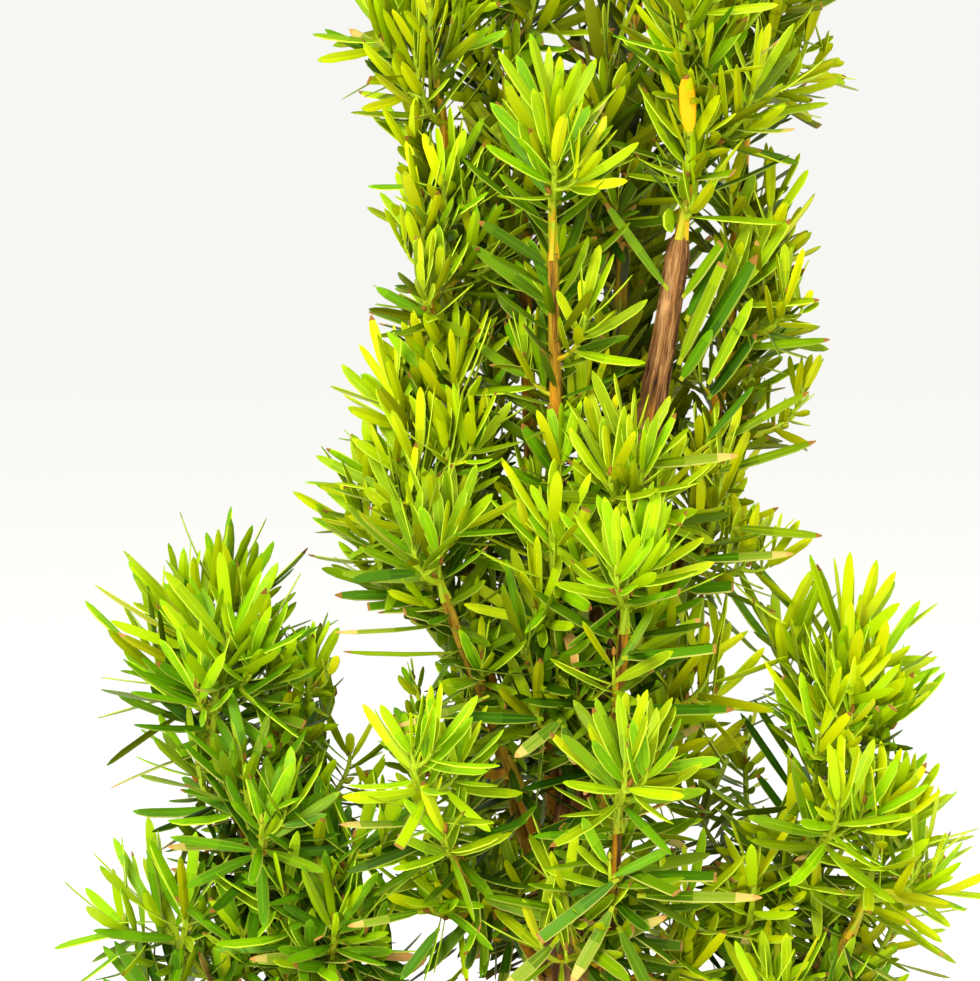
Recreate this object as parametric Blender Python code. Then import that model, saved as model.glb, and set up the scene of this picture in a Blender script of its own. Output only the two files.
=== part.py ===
"""A young upright yew with several leaders, in a plain round pot.

The plant is built as it grows. One thin trunk rises from the potting soil and runs up
into the crown. Limbs leave it and turn upright, and every mass of foliage is a shoot on
a limb: one stem, side twigs by a seeded rule, and whorls of needles up all of them.
Metres, +Z up. The origin is the middle of the pot's flat underside, and -Y is the front.
"""

import math
import random
from typing import NamedTuple

import bmesh
import bpy
from mathutils import Vector
from mathutils.bvhtree import BVHTree

UP = Vector((0.0, 0.0, 1.0))
GAP = 0.0003  # between pieces that meet
GOLDEN_ANGLE = math.radians(137.508)  # from one twig to the next, round a stem

# --- The pot and its soil -------------------------------------------------------------
POT_HEIGHT = 0.152
POT_FOOT_RADIUS = 0.060
POT_RIM_RADIUS = 0.086
RIM_BAND = 0.024  # height of the thicker band below the mouth
RIM_STEP = 0.0035  # how far that band stands proud
WALL = 0.0065
FLOOR = 0.009
EDGE = 0.0015  # rounding of the pot's edges
SOIL_LEVEL = 0.138
POT_SIDES = 32

# --- The trunk ------------------------------------------------------------------------
TRUNK_TOP = Vector((0.0265, -0.010, 0.384))
TRUNK_BOW = (Vector((-0.014, 0.002, 0.215)), Vector((0.016, -0.004, 0.300)))
TRUNK_RADIUS = 0.0062  # above the root flare
TRUNK_TOP_RADIUS = 0.0030
FLARE = 0.0052  # how far the root flare stands out at the soil
FLARE_HEIGHT = 0.012
TRUNK_SIDES = 10
TRUNK_RINGS = 16

# --- The limbs ------------------------------------------------------------------------
LIMB_SIDES = 6
LIMB_RINGS = 8


class Limb(NamedTuple):
    """A stem or bough that leaves the trunk at one height and ends, upright, at its tip."""

    name: str
    leaves: float  # height at which it leaves the trunk's axis
    azimuth: float  # where its tip stands, in degrees: 0 right, 90 back, 270 front
    spread: float  # how far its tip stands from the pot's axis
    height: float  # of its tip
    bend: float  # 0 is straight, 1 runs out first and then turns up
    foot_radius: float
    tip_radius: float


LIMBS = (
    Limb("leader_front", 0.226, 251, 0.019, 0.379, 0.3, 0.0023, 0.0014),
    Limb("leader_back_left", 0.212, 126, 0.025, 0.424, 0.5, 0.0025, 0.0015),
    Limb("leader_back", 0.244, 58, 0.031, 0.444, 0.3, 0.0024, 0.0014),
    Limb("leader_left", 0.204, 172, 0.034, 0.404, 0.8, 0.0025, 0.0014),
    Limb("leader_right", 0.262, 10, 0.044, 0.398, 0.8, 0.0024, 0.0014),
    Limb("bough_inner_left", 0.208, 224, 0.047, 0.294, 0.0, 0.0021, 0.0013),
    Limb("bough_front_middle", 0.216, 288, 0.037, 0.286, 0.7, 0.0020, 0.0013),
    Limb("bough_front_low", 0.180, 281, 0.050, 0.238, 0.9, 0.0019, 0.0012),
    Limb("bough_front_left", 0.186, 231, 0.055, 0.236, 0.1, 0.0019, 0.0012),
    Limb("bough_left", 0.160, 183, 0.091, 0.240, 0.6, 0.0030, 0.0015),
    Limb("bough_right", 0.168, 350, 0.060, 0.228, 0.8, 0.0026, 0.0015),
    Limb("bough_right_outer", 0.158, 341, 0.074, 0.206, 0.7, 0.0022, 0.0014),
    Limb("bough_back", 0.166, 94, 0.060, 0.242, 0.7, 0.0028, 0.0015),
)

# --- The masses of foliage ------------------------------------------------------------
# Every stem of a mass is a slim core with whorls of needles. A whorl stands for one turn
# of the spiral in which the plant sets its needles, so its needles are larger than life.
FOOT_RADIUS = 0.0013  # of a stem, where it meets its limb
CORE_RADIUS = 0.0026
CORE_TIP_RADIUS = 0.0014
CORE_STEP = 0.0012  # how far the surface stands out between the needles of a whorl
STEM_RINGS = 7
BARE = 0.14  # share of a stem below its first whorl
WHORL_EVERY = 0.0096
STEM_WHORL = 5  # needles in a whorl on a mass's own stem
TWIG_WHORL = 4  # and on its twigs
NEEDLE_LENGTH = 0.025
NEEDLE_SPREAD = (80.0, 40.0)  # degrees from the stem, at its foot and near its tip
TIP_SPREAD = 24.0  # the same, in the last whorl
SHORTEST_NEEDLE = 0.62  # share of the length, at either end of a stem
SHORTENED = (1.0, 0.82, 0.64, 0.46)  # what a needle with a neighbour in its way tries
TWIG_RINGS = 5
SHORTEST_TWIG = 0.018
LONGEST_TWIG = 0.027


class Shoot(NamedTuple):
    """A mass of foliage: a stem with its side twigs and needles."""

    name: str
    limb: str
    at: float  # height on the limb where it grows, or 0 for a shoot at the limb's tip
    azimuth: float  # which way it reaches, in degrees
    reach: float  # how far outwards its tip stands from its foot
    rise: float  # how far upwards
    twigs: int


SHOOTS = (
    Shoot("crown_of_trunk", "trunk", 0, 320, 0.010, 0.078, 3),
    Shoot("spray_trunk_middle", "trunk", 0.308, 270, 0.018, 0.025, 1),
    Shoot("spray_trunk_low", "trunk", 0.246, 322, 0.024, 0.030, 2),
    Shoot("tip_leader_front", "leader_front", 0, 268, 0.007, 0.036, 1),
    Shoot("spray_front_upper", "leader_front", 0.288, 262, 0.021, 0.026, 2),
    Shoot("spray_front_lower", "leader_front", 0.264, 246, 0.024, 0.020, 1),
    Shoot("tip_leader_back_left", "leader_back_left", 0, 110, 0.010, 0.074, 3),
    Shoot("spray_back_left", "leader_back_left", 0.352, 132, 0.030, 0.046, 2),
    Shoot("tip_leader_back", "leader_back", 0, 40, 0.008, 0.074, 4),
    Shoot("spray_back_inner", "leader_back", 0.380, 255, 0.020, 0.052, 2),
    Shoot("spray_back", "leader_back", 0.340, 72, 0.032, 0.052, 2),
    Shoot("tip_leader_left", "leader_left", 0, 200, 0.010, 0.066, 3),
    Shoot("spray_left_top", "leader_left", 0.356, 235, 0.012, 0.038, 2),
    Shoot("spray_left_high", "leader_left", 0.318, 262, 0.015, 0.032, 1),
    Shoot("spray_left_middle", "leader_left", 0.296, 236, 0.024, 0.032, 1),
    Shoot("spray_left_outer", "leader_left", 0.280, 200, 0.030, 0.036, 1),
    Shoot("tip_leader_right", "leader_right", 0, 20, 0.008, 0.070, 3),
    Shoot("spray_right_top", "leader_right", 0.352, 318, 0.013, 0.042, 2),
    Shoot("spray_right_high", "leader_right", 0.326, 10, 0.012, 0.038, 1),
    Shoot("spray_right_middle", "leader_right", 0.296, 312, 0.015, 0.030, 2),
    Shoot("tip_inner_left", "bough_inner_left", 0, 235, 0.003, 0.018, 1),
    Shoot("spray_inner_left", "bough_inner_left", 0.246, 170, 0.024, 0.024, 1),
    Shoot("tip_front_middle", "bough_front_middle", 0, 280, 0.003, 0.018, 1),
    Shoot("tip_front_low", "bough_front_low", 0, 280, 0.003, 0.018, 1),
    Shoot("spray_front_foot", "bough_front_low", 0.202, 232, 0.014, 0.024, 1),
    Shoot("spray_foot_right", "bough_front_low", 0.194, 352, 0.022, 0.024, 1),
    Shoot("tip_front_left", "bough_front_left", 0, 250, 0.003, 0.018, 1),
    Shoot("spray_foot_left", "bough_front_left", 0.206, 205, 0.015, 0.022, 1),
    Shoot("tip_left", "bough_left", 0, 165, 0.006, 0.046, 2),
    Shoot("spray_left_inside", "bough_left", 0.222, 12, 0.012, 0.052, 1),
    Shoot("spray_left_front", "bough_left", 0.216, 258, 0.025, 0.036, 1),
    Shoot("spray_left_right", "bough_left", 0.196, 263, 0.024, 0.038, 1),
    Shoot("spray_left_low", "bough_left", 0.182, 192, 0.062, 0.031, 2),
    Shoot("spray_left_foot", "bough_left", 0.188, 236, 0.034, 0.032, 2),
    Shoot("spray_left_back", "bough_left", 0.200, 102, 0.032, 0.048, 2),
    Shoot("tip_right", "bough_right", 0, 20, 0.011, 0.052, 2),
    Shoot("spray_right_front", "bough_right", 0.214, 296, 0.013, 0.044, 1),
    Shoot("spray_right_inside", "bough_right", 0.188, 288, 0.024, 0.036, 1),
    Shoot("spray_right_back", "bough_right", 0.200, 92, 0.036, 0.050, 2),
    Shoot("tip_right_outer", "bough_right_outer", 0, 330, 0.008, 0.032, 2),
    Shoot("spray_right_low", "bough_right_outer", 0.184, 16, 0.030, 0.030, 1),
    Shoot("spray_right_foot", "bough_right_outer", 0.174, 298, 0.024, 0.022, 1),
    Shoot("tip_back", "bough_back", 0, 90, 0.006, 0.062, 3),
    Shoot("spray_back_low", "bough_back", 0.200, 130, 0.034, 0.050, 2),
)

# --- Finishes -------------------------------------------------------------------------
FINISHES = {  # base colour, roughness, metallic
    "terracotta": ((0.56, 0.27, 0.16), 0.85, 0.0),
    "potting_soil": ((0.06, 0.04, 0.03), 0.95, 0.0),
    "bark": ((0.26, 0.16, 0.09), 0.80, 0.0),
    "foliage": ((0.22, 0.42, 0.03), 0.45, 0.0),
}


def clear_scene():
    for thing in list(bpy.data.objects):
        bpy.data.objects.remove(thing, do_unlink=True)


def finish(name):
    """The Principled material of that name, made the first time it is asked for."""
    found = bpy.data.materials.get(name)
    if found:
        return found
    colour, roughness, metallic = FINISHES[name]
    material = bpy.data.materials.new(name)
    material.use_nodes = True
    shader = material.node_tree.nodes["Principled BSDF"]
    shader.inputs["Base Color"].default_value = (*colour, 1.0)
    shader.inputs["Roughness"].default_value = roughness
    shader.inputs["Metallic"].default_value = metallic
    return material


def object_of(name, points, faces, finish_name):
    """A new object of these points and faces, in the scene."""
    mesh = bpy.data.meshes.new(name)
    mesh.from_pydata([tuple(p) for p in points], [], faces)
    mesh.materials.append(finish(finish_name))
    made = bpy.data.objects.new(name, mesh)
    bpy.context.scene.collection.objects.link(made)
    return made


def polar(azimuth, distance, height=0.0):
    """The point at that distance from the Z axis, in that direction, at that height."""
    turn = math.radians(azimuth)
    return Vector((distance * math.cos(turn), distance * math.sin(turn), height))


def bezier(foot, first, second, tip, share):
    rest = 1.0 - share
    return (
        foot * rest**3
        + first * 3 * rest**2 * share
        + second * 3 * rest * share**2
        + tip * share**3
    )


def curve_of(foot, first, second, tip, rings):
    """That many points along the curve from foot to tip."""
    return [bezier(foot, first, second, tip, i / (rings - 1)) for i in range(rings)]


def length_of(line):
    return sum((after - before).length for before, after in zip(line, line[1:]))


def tangent_at(line, index):
    before = line[max(index - 1, 0)]
    after = line[min(index + 1, len(line) - 1)]
    return (after - before).normalized()


def along(line, share):
    """The point and the direction at that share of the line."""
    place = min(max(share, 0.0), 1.0) * (len(line) - 1)
    index = min(int(place), len(line) - 2)
    point = line[index].lerp(line[index + 1], place - index)
    return point, (line[index + 1] - line[index]).normalized()


def at_height(line, height):
    """The share of a rising line at which it reaches that height."""
    for index in range(len(line) - 1):
        low, high = line[index].z, line[index + 1].z
        if low <= height <= high:
            return (index + (height - low) / (high - low)) / (len(line) - 1)
    raise ValueError(f"no point of the line is {height} high")


def square_to(direction):
    """Two unit vectors at right angles to a direction and to each other."""
    other = Vector((1.0, 0.0, 0.0)) if abs(direction.x) < 0.8 else Vector((0.0, 1.0, 0.0))
    first = (other - direction * other.dot(direction)).normalized()
    return first, direction.cross(first)


def tube(line, radii, sides, foot_direction=None):
    """Points and faces of a closed round limb along a line, with a flat cut at each end."""
    points, faces = [], []
    directions = [tangent_at(line, index) for index in range(len(line))]
    directions[0] = foot_direction or directions[0]
    across = square_to(directions[0])[0]
    for centre, radius, direction in zip(line, radii, directions):
        across = (across - direction * across.dot(direction)).normalized()
        over = direction.cross(across)
        for side in range(sides):
            turn = math.tau * side / sides
            points.append(centre + radius * (across * math.cos(turn) + over * math.sin(turn)))
    for ring in range(len(line) - 1):
        for side in range(sides):
            a, b = ring * sides + side, ring * sides + (side + 1) % sides
            faces.append((a, b, b + sides, a + sides))
    faces.append(tuple(reversed(range(sides))))
    faces.append(tuple(range(len(points) - sides, len(points))))
    return points, faces


# --- The pot and its soil -------------------------------------------------------------


def pot_radius(height):
    """Outer radius of the pot's wall below the rim band, at that height."""
    return POT_FOOT_RADIUS + (POT_RIM_RADIUS - RIM_STEP - POT_FOOT_RADIUS) * height / POT_HEIGHT


def spun(name, profile, finish_name):
    """A solid of revolution from (radius, height) points that start and end on the axis."""
    shape = bmesh.new()
    rim = [shape.verts.new((radius, 0.0, height)) for radius, height in profile]
    edges = [shape.edges.new(pair) for pair in zip(rim, rim[1:])]
    bmesh.ops.spin(
        shape,
        geom=rim + edges,
        axis=UP,
        cent=(0.0, 0.0, 0.0),
        angle=math.tau,
        steps=POT_SIDES,
        use_merge=True,
    )
    bmesh.ops.remove_doubles(shape, verts=shape.verts, dist=1e-6)
    bmesh.ops.recalc_face_normals(shape, faces=shape.faces)
    mesh = bpy.data.meshes.new(name)
    shape.to_mesh(mesh)
    shape.free()
    mesh.materials.append(finish(finish_name))
    mesh.shade_smooth()
    mesh.set_sharp_from_angle(angle=math.radians(35))
    bpy.context.scene.collection.objects.link(bpy.data.objects.new(name, mesh))


def make_pot():
    """The pot's wall from its foot up the outside, over the rim band and down inside."""
    band_foot = POT_HEIGHT - RIM_BAND
    mouth = POT_RIM_RADIUS - WALL
    inner_foot = pot_radius(FLOOR) - WALL
    profile = [
        (0.0, 0.0),
        (POT_FOOT_RADIUS - EDGE, 0.0),
        (POT_FOOT_RADIUS, EDGE),
        (pot_radius(band_foot), band_foot),
        (pot_radius(band_foot) + RIM_STEP, band_foot + EDGE),
        (POT_RIM_RADIUS, POT_HEIGHT - EDGE),
        (POT_RIM_RADIUS - EDGE, POT_HEIGHT),
        (mouth + EDGE, POT_HEIGHT),
        (mouth, POT_HEIGHT - EDGE),
        (inner_foot, FLOOR),
        (0.0, FLOOR),
    ]
    spun("pot", profile, "terracotta")


def make_soil():
    """The potting soil fills the pot, a little lower than its mouth."""
    mouth = POT_RIM_RADIUS - WALL
    inner_foot = pot_radius(FLOOR) - WALL
    slope = (mouth - inner_foot) / (POT_HEIGHT - EDGE - FLOOR)
    foot = FLOOR + GAP
    top_radius = inner_foot + slope * (SOIL_LEVEL - FLOOR) - GAP
    foot_radius = inner_foot + slope * (foot - FLOOR) - GAP
    profile = [(0.0, foot), (foot_radius, foot), (top_radius, SOIL_LEVEL), (0.0, SOIL_LEVEL)]
    spun("potting_soil", profile, "potting_soil")


# --- The trunk and the limbs ----------------------------------------------------------


def trunk_line():
    foot = Vector((0.0, 0.0, SOIL_LEVEL + GAP))
    return curve_of(foot, *TRUNK_BOW, TRUNK_TOP, TRUNK_RINGS)


def trunk_radius(height):
    """The trunk's radius at that height: an even taper over a short root flare."""
    share = (height - SOIL_LEVEL) / (TRUNK_TOP.z - SOIL_LEVEL)
    taper = TRUNK_RADIUS + (TRUNK_TOP_RADIUS - TRUNK_RADIUS) * share
    return taper + FLARE * math.exp(-(height - SOIL_LEVEL) / FLARE_HEIGHT)


def limb_line(limb):
    """A limb's centreline, from the trunk's axis to its tip."""
    trunk = trunk_line()
    foot = along(trunk, at_height(trunk, limb.leaves))[0]
    tip = polar(limb.azimuth, limb.spread, limb.height)
    rise = UP * (tip.z - foot.z)
    out = tip - foot - rise
    first = foot + out * (1 + 1.2 * limb.bend) / 3 + rise * (1 - 0.7 * limb.bend) / 3
    second = tip - out * (1 - limb.bend) / 3 - rise * (1 + 0.3 * limb.bend) / 3
    return curve_of(foot, first, second, tip, LIMB_RINGS * 2)


def outside_trunk(line, radius):
    """The line from where a limb of that radius is clear of the trunk."""
    parts = 8  # tried along each stretch of the line
    for index in range(len(line) - 1):
        for part in range(parts):
            point = line[index].lerp(line[index + 1], part / parts)
            direction = (line[index + 1] - line[index]).normalized()
            if clear_of_trunk(point, direction, radius):
                return [point, *line[index + 1 :]]
    raise ValueError("the limb never leaves the trunk")


def clear_of_trunk(point, direction, radius):
    """Whether a flat cut of that radius, square to a direction, misses the trunk."""
    trunk = trunk_line()
    across, over = square_to(direction)
    for side in range(LIMB_SIDES):
        turn = math.tau * side / LIMB_SIDES
        corner = point + radius * (across * math.cos(turn) + over * math.sin(turn))
        height = min(max(corner.z, trunk[0].z), trunk[-1].z)
        centre = along(trunk, at_height(trunk, height))[0]
        if (corner - centre).length < trunk_radius(height) + GAP:
            return False
    return True


def limb_radii(limb):
    """An even taper from the limb's foot to its tip."""
    step = (limb.tip_radius - limb.foot_radius) / (LIMB_RINGS - 1)
    return [limb.foot_radius + step * ring for ring in range(LIMB_RINGS)]


def even(line, rings):
    """The same line with evenly spaced points."""
    return [along(line, i / (rings - 1))[0] for i in range(rings)]


def make_limbs(space):
    """The trunk and every limb. Returns the line and the radii of each."""
    trunk = trunk_line()
    radii = [trunk_radius(point.z) for point in trunk]
    points, faces = tube(trunk, radii, TRUNK_SIDES)
    flatten(points[:TRUNK_SIDES], SOIL_LEVEL + GAP)
    object_of("trunk", points, faces, "bark")
    space.claim(("trunk", 0), points, faces)
    lines = {"trunk": (trunk, radii)}
    for limb in LIMBS:
        line = even(outside_trunk(limb_line(limb), limb.foot_radius), LIMB_RINGS)
        radii = limb_radii(limb)
        shape = tube(line, radii, LIMB_SIDES)
        if not space.is_free((limb.name, 0), *shape):
            raise ValueError(f"{limb.name} touches another limb")
        space.claim((limb.name, 0), *shape)
        object_of(limb.name, *shape, "bark")
        lines[limb.name] = (line, radii)
    return lines


def flatten(points, height):
    """Sets these points at one height, for a flat cut."""
    for point in points:
        point.z = height


# --- The masses of foliage ------------------------------------------------------------


def stem_line(shoot, line, radii):
    """A shoot's stem, from just clear of its limb to its tip, and the way its foot faces."""
    out = polar(shoot.azimuth, 1.0)
    if shoot.at:
        share = at_height(line, shoot.at)
        centre, direction = along(line, share)
        radius = radii[0] + (radii[-1] - radii[0]) * share
        if shoot.limb == "trunk":
            radius = trunk_radius(shoot.at)
        facing = (out - direction * out.dot(direction)).normalized()
        foot = centre + facing * (radius + GAP)
        first = foot + facing * max(shoot.reach * 0.45, 0.002)
        tip = foot + out * shoot.reach + UP * shoot.rise
        second = tip - UP * shoot.rise * 0.6 - out * shoot.reach * 0.15
    else:
        facing = tangent_at(line, len(line) - 1)
        foot = line[-1] + facing * GAP
        tip = foot + out * shoot.reach + UP * shoot.rise
        first = foot + facing * shoot.rise * 0.35
        second = tip - UP * shoot.rise * 0.35 - out * shoot.reach * 0.1
    return curve_of(foot, first, second, tip, STEM_RINGS), facing


def twig_lines(shoot, stem):
    """The side twigs of a shoot, by its seeded rule: each leaves the stem and turns up."""
    draw = random.Random(shoot.name)
    length = length_of(stem)
    lines = []
    for index in range(shoot.twigs):
        share = 0.20 + 0.40 * (index + draw.random()) / shoot.twigs
        foot, direction = along(stem, share)
        across, over = square_to(direction)
        turn = math.radians(shoot.azimuth) + index * GOLDEN_ANGLE + draw.uniform(-0.5, 0.5)
        side = across * math.cos(turn) + over * math.sin(turn)
        size = min(max(length * draw.uniform(0.45, 0.60), SHORTEST_TWIG), LONGEST_TWIG)
        first = foot + side * size * 0.40 + direction * size * 0.10
        tip = foot + side * size * 0.62 + (direction + UP) * size * 0.38
        second = tip - UP * size * 0.30
        lines.append(curve_of(foot, first, second, tip, TWIG_RINGS))
    return lines


class Stem:
    """One stem of a mass: the rings of its core, and between them its whorls of needles."""

    def __init__(self, owner, index, line, facing=None):
        self.tag = (owner, index)
        self.needles = TWIG_WHORL if index else STEM_WHORL
        self.line = line
        self.draw = random.Random(f"{owner} {index}")
        bare = BARE * length_of(line)
        self.whorls = max(round((length_of(line) - bare) / WHORL_EVERY), 2)
        self.facing = facing or (line[1] - line[0]).normalized()
        self.across = square_to(self.facing)[0]
        self.cores = [self.ring(line[0], self.facing, FOOT_RADIUS)]
        self.valleys, self.spokes = [], []
        for whorl in range(self.whorls):
            self.add_core(whorl)
            self.add_whorl(whorl)
        self.apex = line[-1] + tangent_at(line, len(line) - 1) * CORE_TIP_RADIUS * 2

    def share(self, step):
        """The share of the stem at that many whorls above its bare foot."""
        return BARE + (1 - BARE) * step / self.whorls

    def core_radius(self, share):
        swell = math.sin(math.pi * min(max(share, 0.0), 1.0)) ** 0.7
        end = FOOT_RADIUS + (CORE_TIP_RADIUS - FOOT_RADIUS) * share
        return end + (CORE_RADIUS - end) * swell

    def side(self, direction, number):
        """Unit vector square to the stem, at that one of the places round it."""
        self.across = (self.across - direction * self.across.dot(direction)).normalized()
        turn = math.pi * number / self.needles
        return self.across * math.cos(turn) + direction.cross(self.across) * math.sin(turn)

    def ring(self, centre, direction, radius):
        places = range(2 * self.needles)
        return [centre + self.side(direction, number) * radius for number in places]

    def add_core(self, whorl):
        share = self.share(whorl)
        centre, direction = along(self.line, share)
        self.cores.append(self.ring(centre, direction, self.core_radius(share)))

    def add_whorl(self, whorl):
        """A whorl's valleys, and the full reach of each needle: places of a kind alternate."""
        share = self.share(whorl + 0.5)
        centre, direction = along(self.line, share)
        wide, narrow = NEEDLE_SPREAD
        spread = TIP_SPREAD if whorl == self.whorls - 1 else wide + (narrow - wide) * share
        size = SHORTEST_NEEDLE + (1 - SHORTEST_NEEDLE) * math.sin(math.pi * min(share, 0.88))
        valleys, spokes = {}, {}
        for number in range(2 * self.needles):
            side = self.side(direction, number)
            lean = math.radians(spread)
            if (number + whorl) % 2:
                radius = self.core_radius(share) + CORE_STEP
                valleys[number] = centre + (direction * math.cos(lean) + side * math.sin(lean)) * radius
                continue
            lean += math.radians(self.draw.uniform(-7, 5))
            turned = self.side(direction, number + self.draw.uniform(-0.25, 0.25))
            pointing = direction * math.cos(lean) + turned * math.sin(lean)
            spokes[number] = (centre, pointing, NEEDLE_LENGTH * size * self.draw.uniform(0.9, 1.0))
        self.valleys.append(valleys)
        self.spokes.append(spokes)

    def core_shape(self, margin=0.0):
        """A plain tube that holds the core, for finding what is in its way."""
        shares = [self.share(step) for step in range(self.whorls + 1)]
        line = [self.line[0]] + [along(self.line, share)[0] for share in shares]
        radii = [self.core_radius(share) + CORE_STEP + margin for share in shares]
        return tube(line, [FOOT_RADIUS, *radii], self.needles, self.facing)

    def needle(self, whorl, number, share, margin=0.0):
        """One needle as a pyramid, and the point of its tip."""
        centre, pointing, length = self.spokes[whorl][number]
        tip = centre + pointing * (length * share + margin)
        count = 2 * self.needles
        above = self.cores[whorl + 2][number] if whorl < self.whorls - 1 else self.apex
        base = [
            self.cores[whorl + 1][number],
            self.valleys[whorl][(number + 1) % count],
            above,
            self.valleys[whorl][(number - 1) % count],
        ]
        middle = sum(base, Vector()) / 4
        base = [point + (point - middle).normalized() * margin for point in base]
        faces = [(0, 1, 4), (1, 2, 4), (2, 3, 4), (3, 0, 4), (3, 2, 1, 0)]
        return [*base, tip], faces

    def grow_needles(self, space):
        """Settles each needle's length, by what is in its way."""
        self.tips = []
        for whorl, spokes in enumerate(self.spokes):
            tips = {}
            for number, (centre, pointing, length) in spokes.items():
                tips[number] = centre + pointing * (self.core_radius(self.share(whorl + 0.5)) + CORE_STEP)
                for share in SHORTENED:
                    if space.is_free(self.tag, *self.needle(whorl, number, share, GAP)):
                        shape = self.needle(whorl, number, share)
                        space.claim(self.tag, *shape)
                        tips[number] = shape[0][-1]
                        break
            self.tips.append(tips)

    def shape(self):
        """Points and faces of the whole stem, needles and all, as one closed surface."""
        count = 2 * self.needles
        points = [point for ring in self.cores[:2] for point in ring]
        faces = [tuple(reversed(range(count)))]
        faces += [(a, (a + 1) % count, (a + 1) % count + count, a + count) for a in range(count)]
        low = count
        for whorl in range(self.whorls):
            star = len(points)
            marks = self.valleys[whorl] | self.tips[whorl]
            points += [marks[number] for number in range(count)]
            last = whorl == self.whorls - 1
            high = len(points)
            points += [self.apex] if last else self.cores[whorl + 2]
            for number in self.tips[whorl]:
                for step in (1, -1):
                    faces += self.flank(number, step, low, star, high, last)
            low = high
        return points, faces

    def flank(self, number, step, low, star, high, last):
        """The faces on one side of a needle, under it and over it."""
        other = (number + step) % (2 * self.needles)
        above, beside = (high, high) if last else (high + number, high + other)
        found = [
            (low + number, low + other, star + other),
            (low + number, star + other, star + number),
            (star + number, star + other, above),
        ]
        if not last:
            found.append((star + other, beside, above))
        return found if step == 1 else [tuple(reversed(face)) for face in found]


class Space:
    """Which places are taken, and by which piece."""

    def __init__(self):
        self.taken = []

    def claim(self, tag, points, faces):
        self.taken.append((tag, box_of(points), tree_of(points, faces)))

    def is_free(self, tag, points, faces, whole_mass=False):
        """Whether a shape touches nothing but what has its tag, or its mass's name."""
        low, high = box_of(points)
        own = None
        for other, (other_low, other_high), tree in self.taken:
            if other == tag or (whole_mass and other[0] == tag[0]):
                continue
            if any(high[i] < other_low[i] or other_high[i] < low[i] for i in range(3)):
                continue
            own = own or tree_of(points, faces)
            if own.overlap(tree):
                return False
        return True


def box_of(points):
    """The least and the greatest of the points' coordinates."""
    columns = list(zip(*points))
    return [min(column) for column in columns], [max(column) for column in columns]


def tree_of(points, faces):
    return BVHTree.FromPolygons([tuple(p) for p in points], faces)


def fused(base, pieces):
    """Joins the pieces to the base with one Boolean union, and removes them."""
    group = bpy.data.collections.new(base.name + "_pieces")
    bpy.context.scene.collection.children.link(group)
    for piece in pieces:
        bpy.context.scene.collection.objects.unlink(piece)
        group.objects.link(piece)
    union = base.modifiers.new("union", "BOOLEAN")
    union.operand_type = "COLLECTION"
    union.collection = group
    union.operation = "UNION"
    union.solver = "EXACT"
    union.use_self = True
    bpy.context.view_layer.objects.active = base
    bpy.ops.object.modifier_apply(modifier=union.name)
    for piece in pieces:
        bpy.data.objects.remove(piece, do_unlink=True)
    bpy.data.collections.remove(group)
    keep_largest_body(base.data)


def keep_largest_body(mesh):
    """Drops loose scraps, and fills any hollow that the union sealed."""
    shape = bmesh.new()
    shape.from_mesh(mesh)
    left = set(shape.verts)
    bodies = []
    while left:
        body, edge = set(), [left.pop()]
        while edge:
            vert = edge.pop()
            body.add(vert)
            near = {link.other_vert(vert) for link in vert.link_edges} & left
            left -= near
            edge.extend(near)
        bodies.append(body)
    bodies.sort(key=len)
    for body in bodies[:-1]:
        bmesh.ops.delete(shape, geom=list(body), context="VERTS")
    if len(bodies) > 1:
        print(f"{mesh.name}: {len(bodies) - 1} loose or inner pieces dropped")
    shape.to_mesh(mesh)
    shape.free()


def make_masses(lines, space):
    """All the masses. The stems come first, then their twigs, and then every needle."""
    masses = {}
    for shoot in SHOOTS:
        line, facing = stem_line(shoot, *lines[shoot.limb])
        stem = Stem(shoot.name, 0, line, facing)
        if not space.is_free(stem.tag, *stem.core_shape()):
            raise ValueError(f"the stem of {shoot.name} touches another piece")
        space.claim(stem.tag, *stem.core_shape())
        masses[shoot.name] = [stem]
    for shoot in SHOOTS:
        stems = masses[shoot.name]
        for line in twig_lines(shoot, stems[0].line):
            twig = Stem(shoot.name, len(stems), line)
            if space.is_free(twig.tag, *twig.core_shape(GAP), whole_mass=True):
                space.claim(twig.tag, *twig.core_shape())
                stems.append(twig)
            else:
                print(f"{shoot.name}: a twig skipped")
    for name, stems in masses.items():
        for stem in stems:
            stem.grow_needles(space)
        base, *twigs = [object_of(name, *stem.shape(), "foliage") for stem in stems]
        if twigs:
            fused(base, twigs)
        print(f"{name}: {len(twigs)} twigs, {len(base.data.polygons)} faces")


def main():
    clear_scene()
    make_pot()
    make_soil()
    space = Space()
    make_masses(make_limbs(space), space)


main()
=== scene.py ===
# %% [markdown]
# # A young yew in a terracotta pot
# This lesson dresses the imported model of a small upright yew. The model gives the place of the
# pot, the trunk, every limb and every mass of foliage. Here they get bark, twigs, thousands of
# flat needles, buds, fired clay and damp compost. Everything is in metres, with +Z up.

import math
import random
from itertools import product
from typing import NamedTuple

import bmesh
import bpy
import numpy as np
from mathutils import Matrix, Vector, noise


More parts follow.
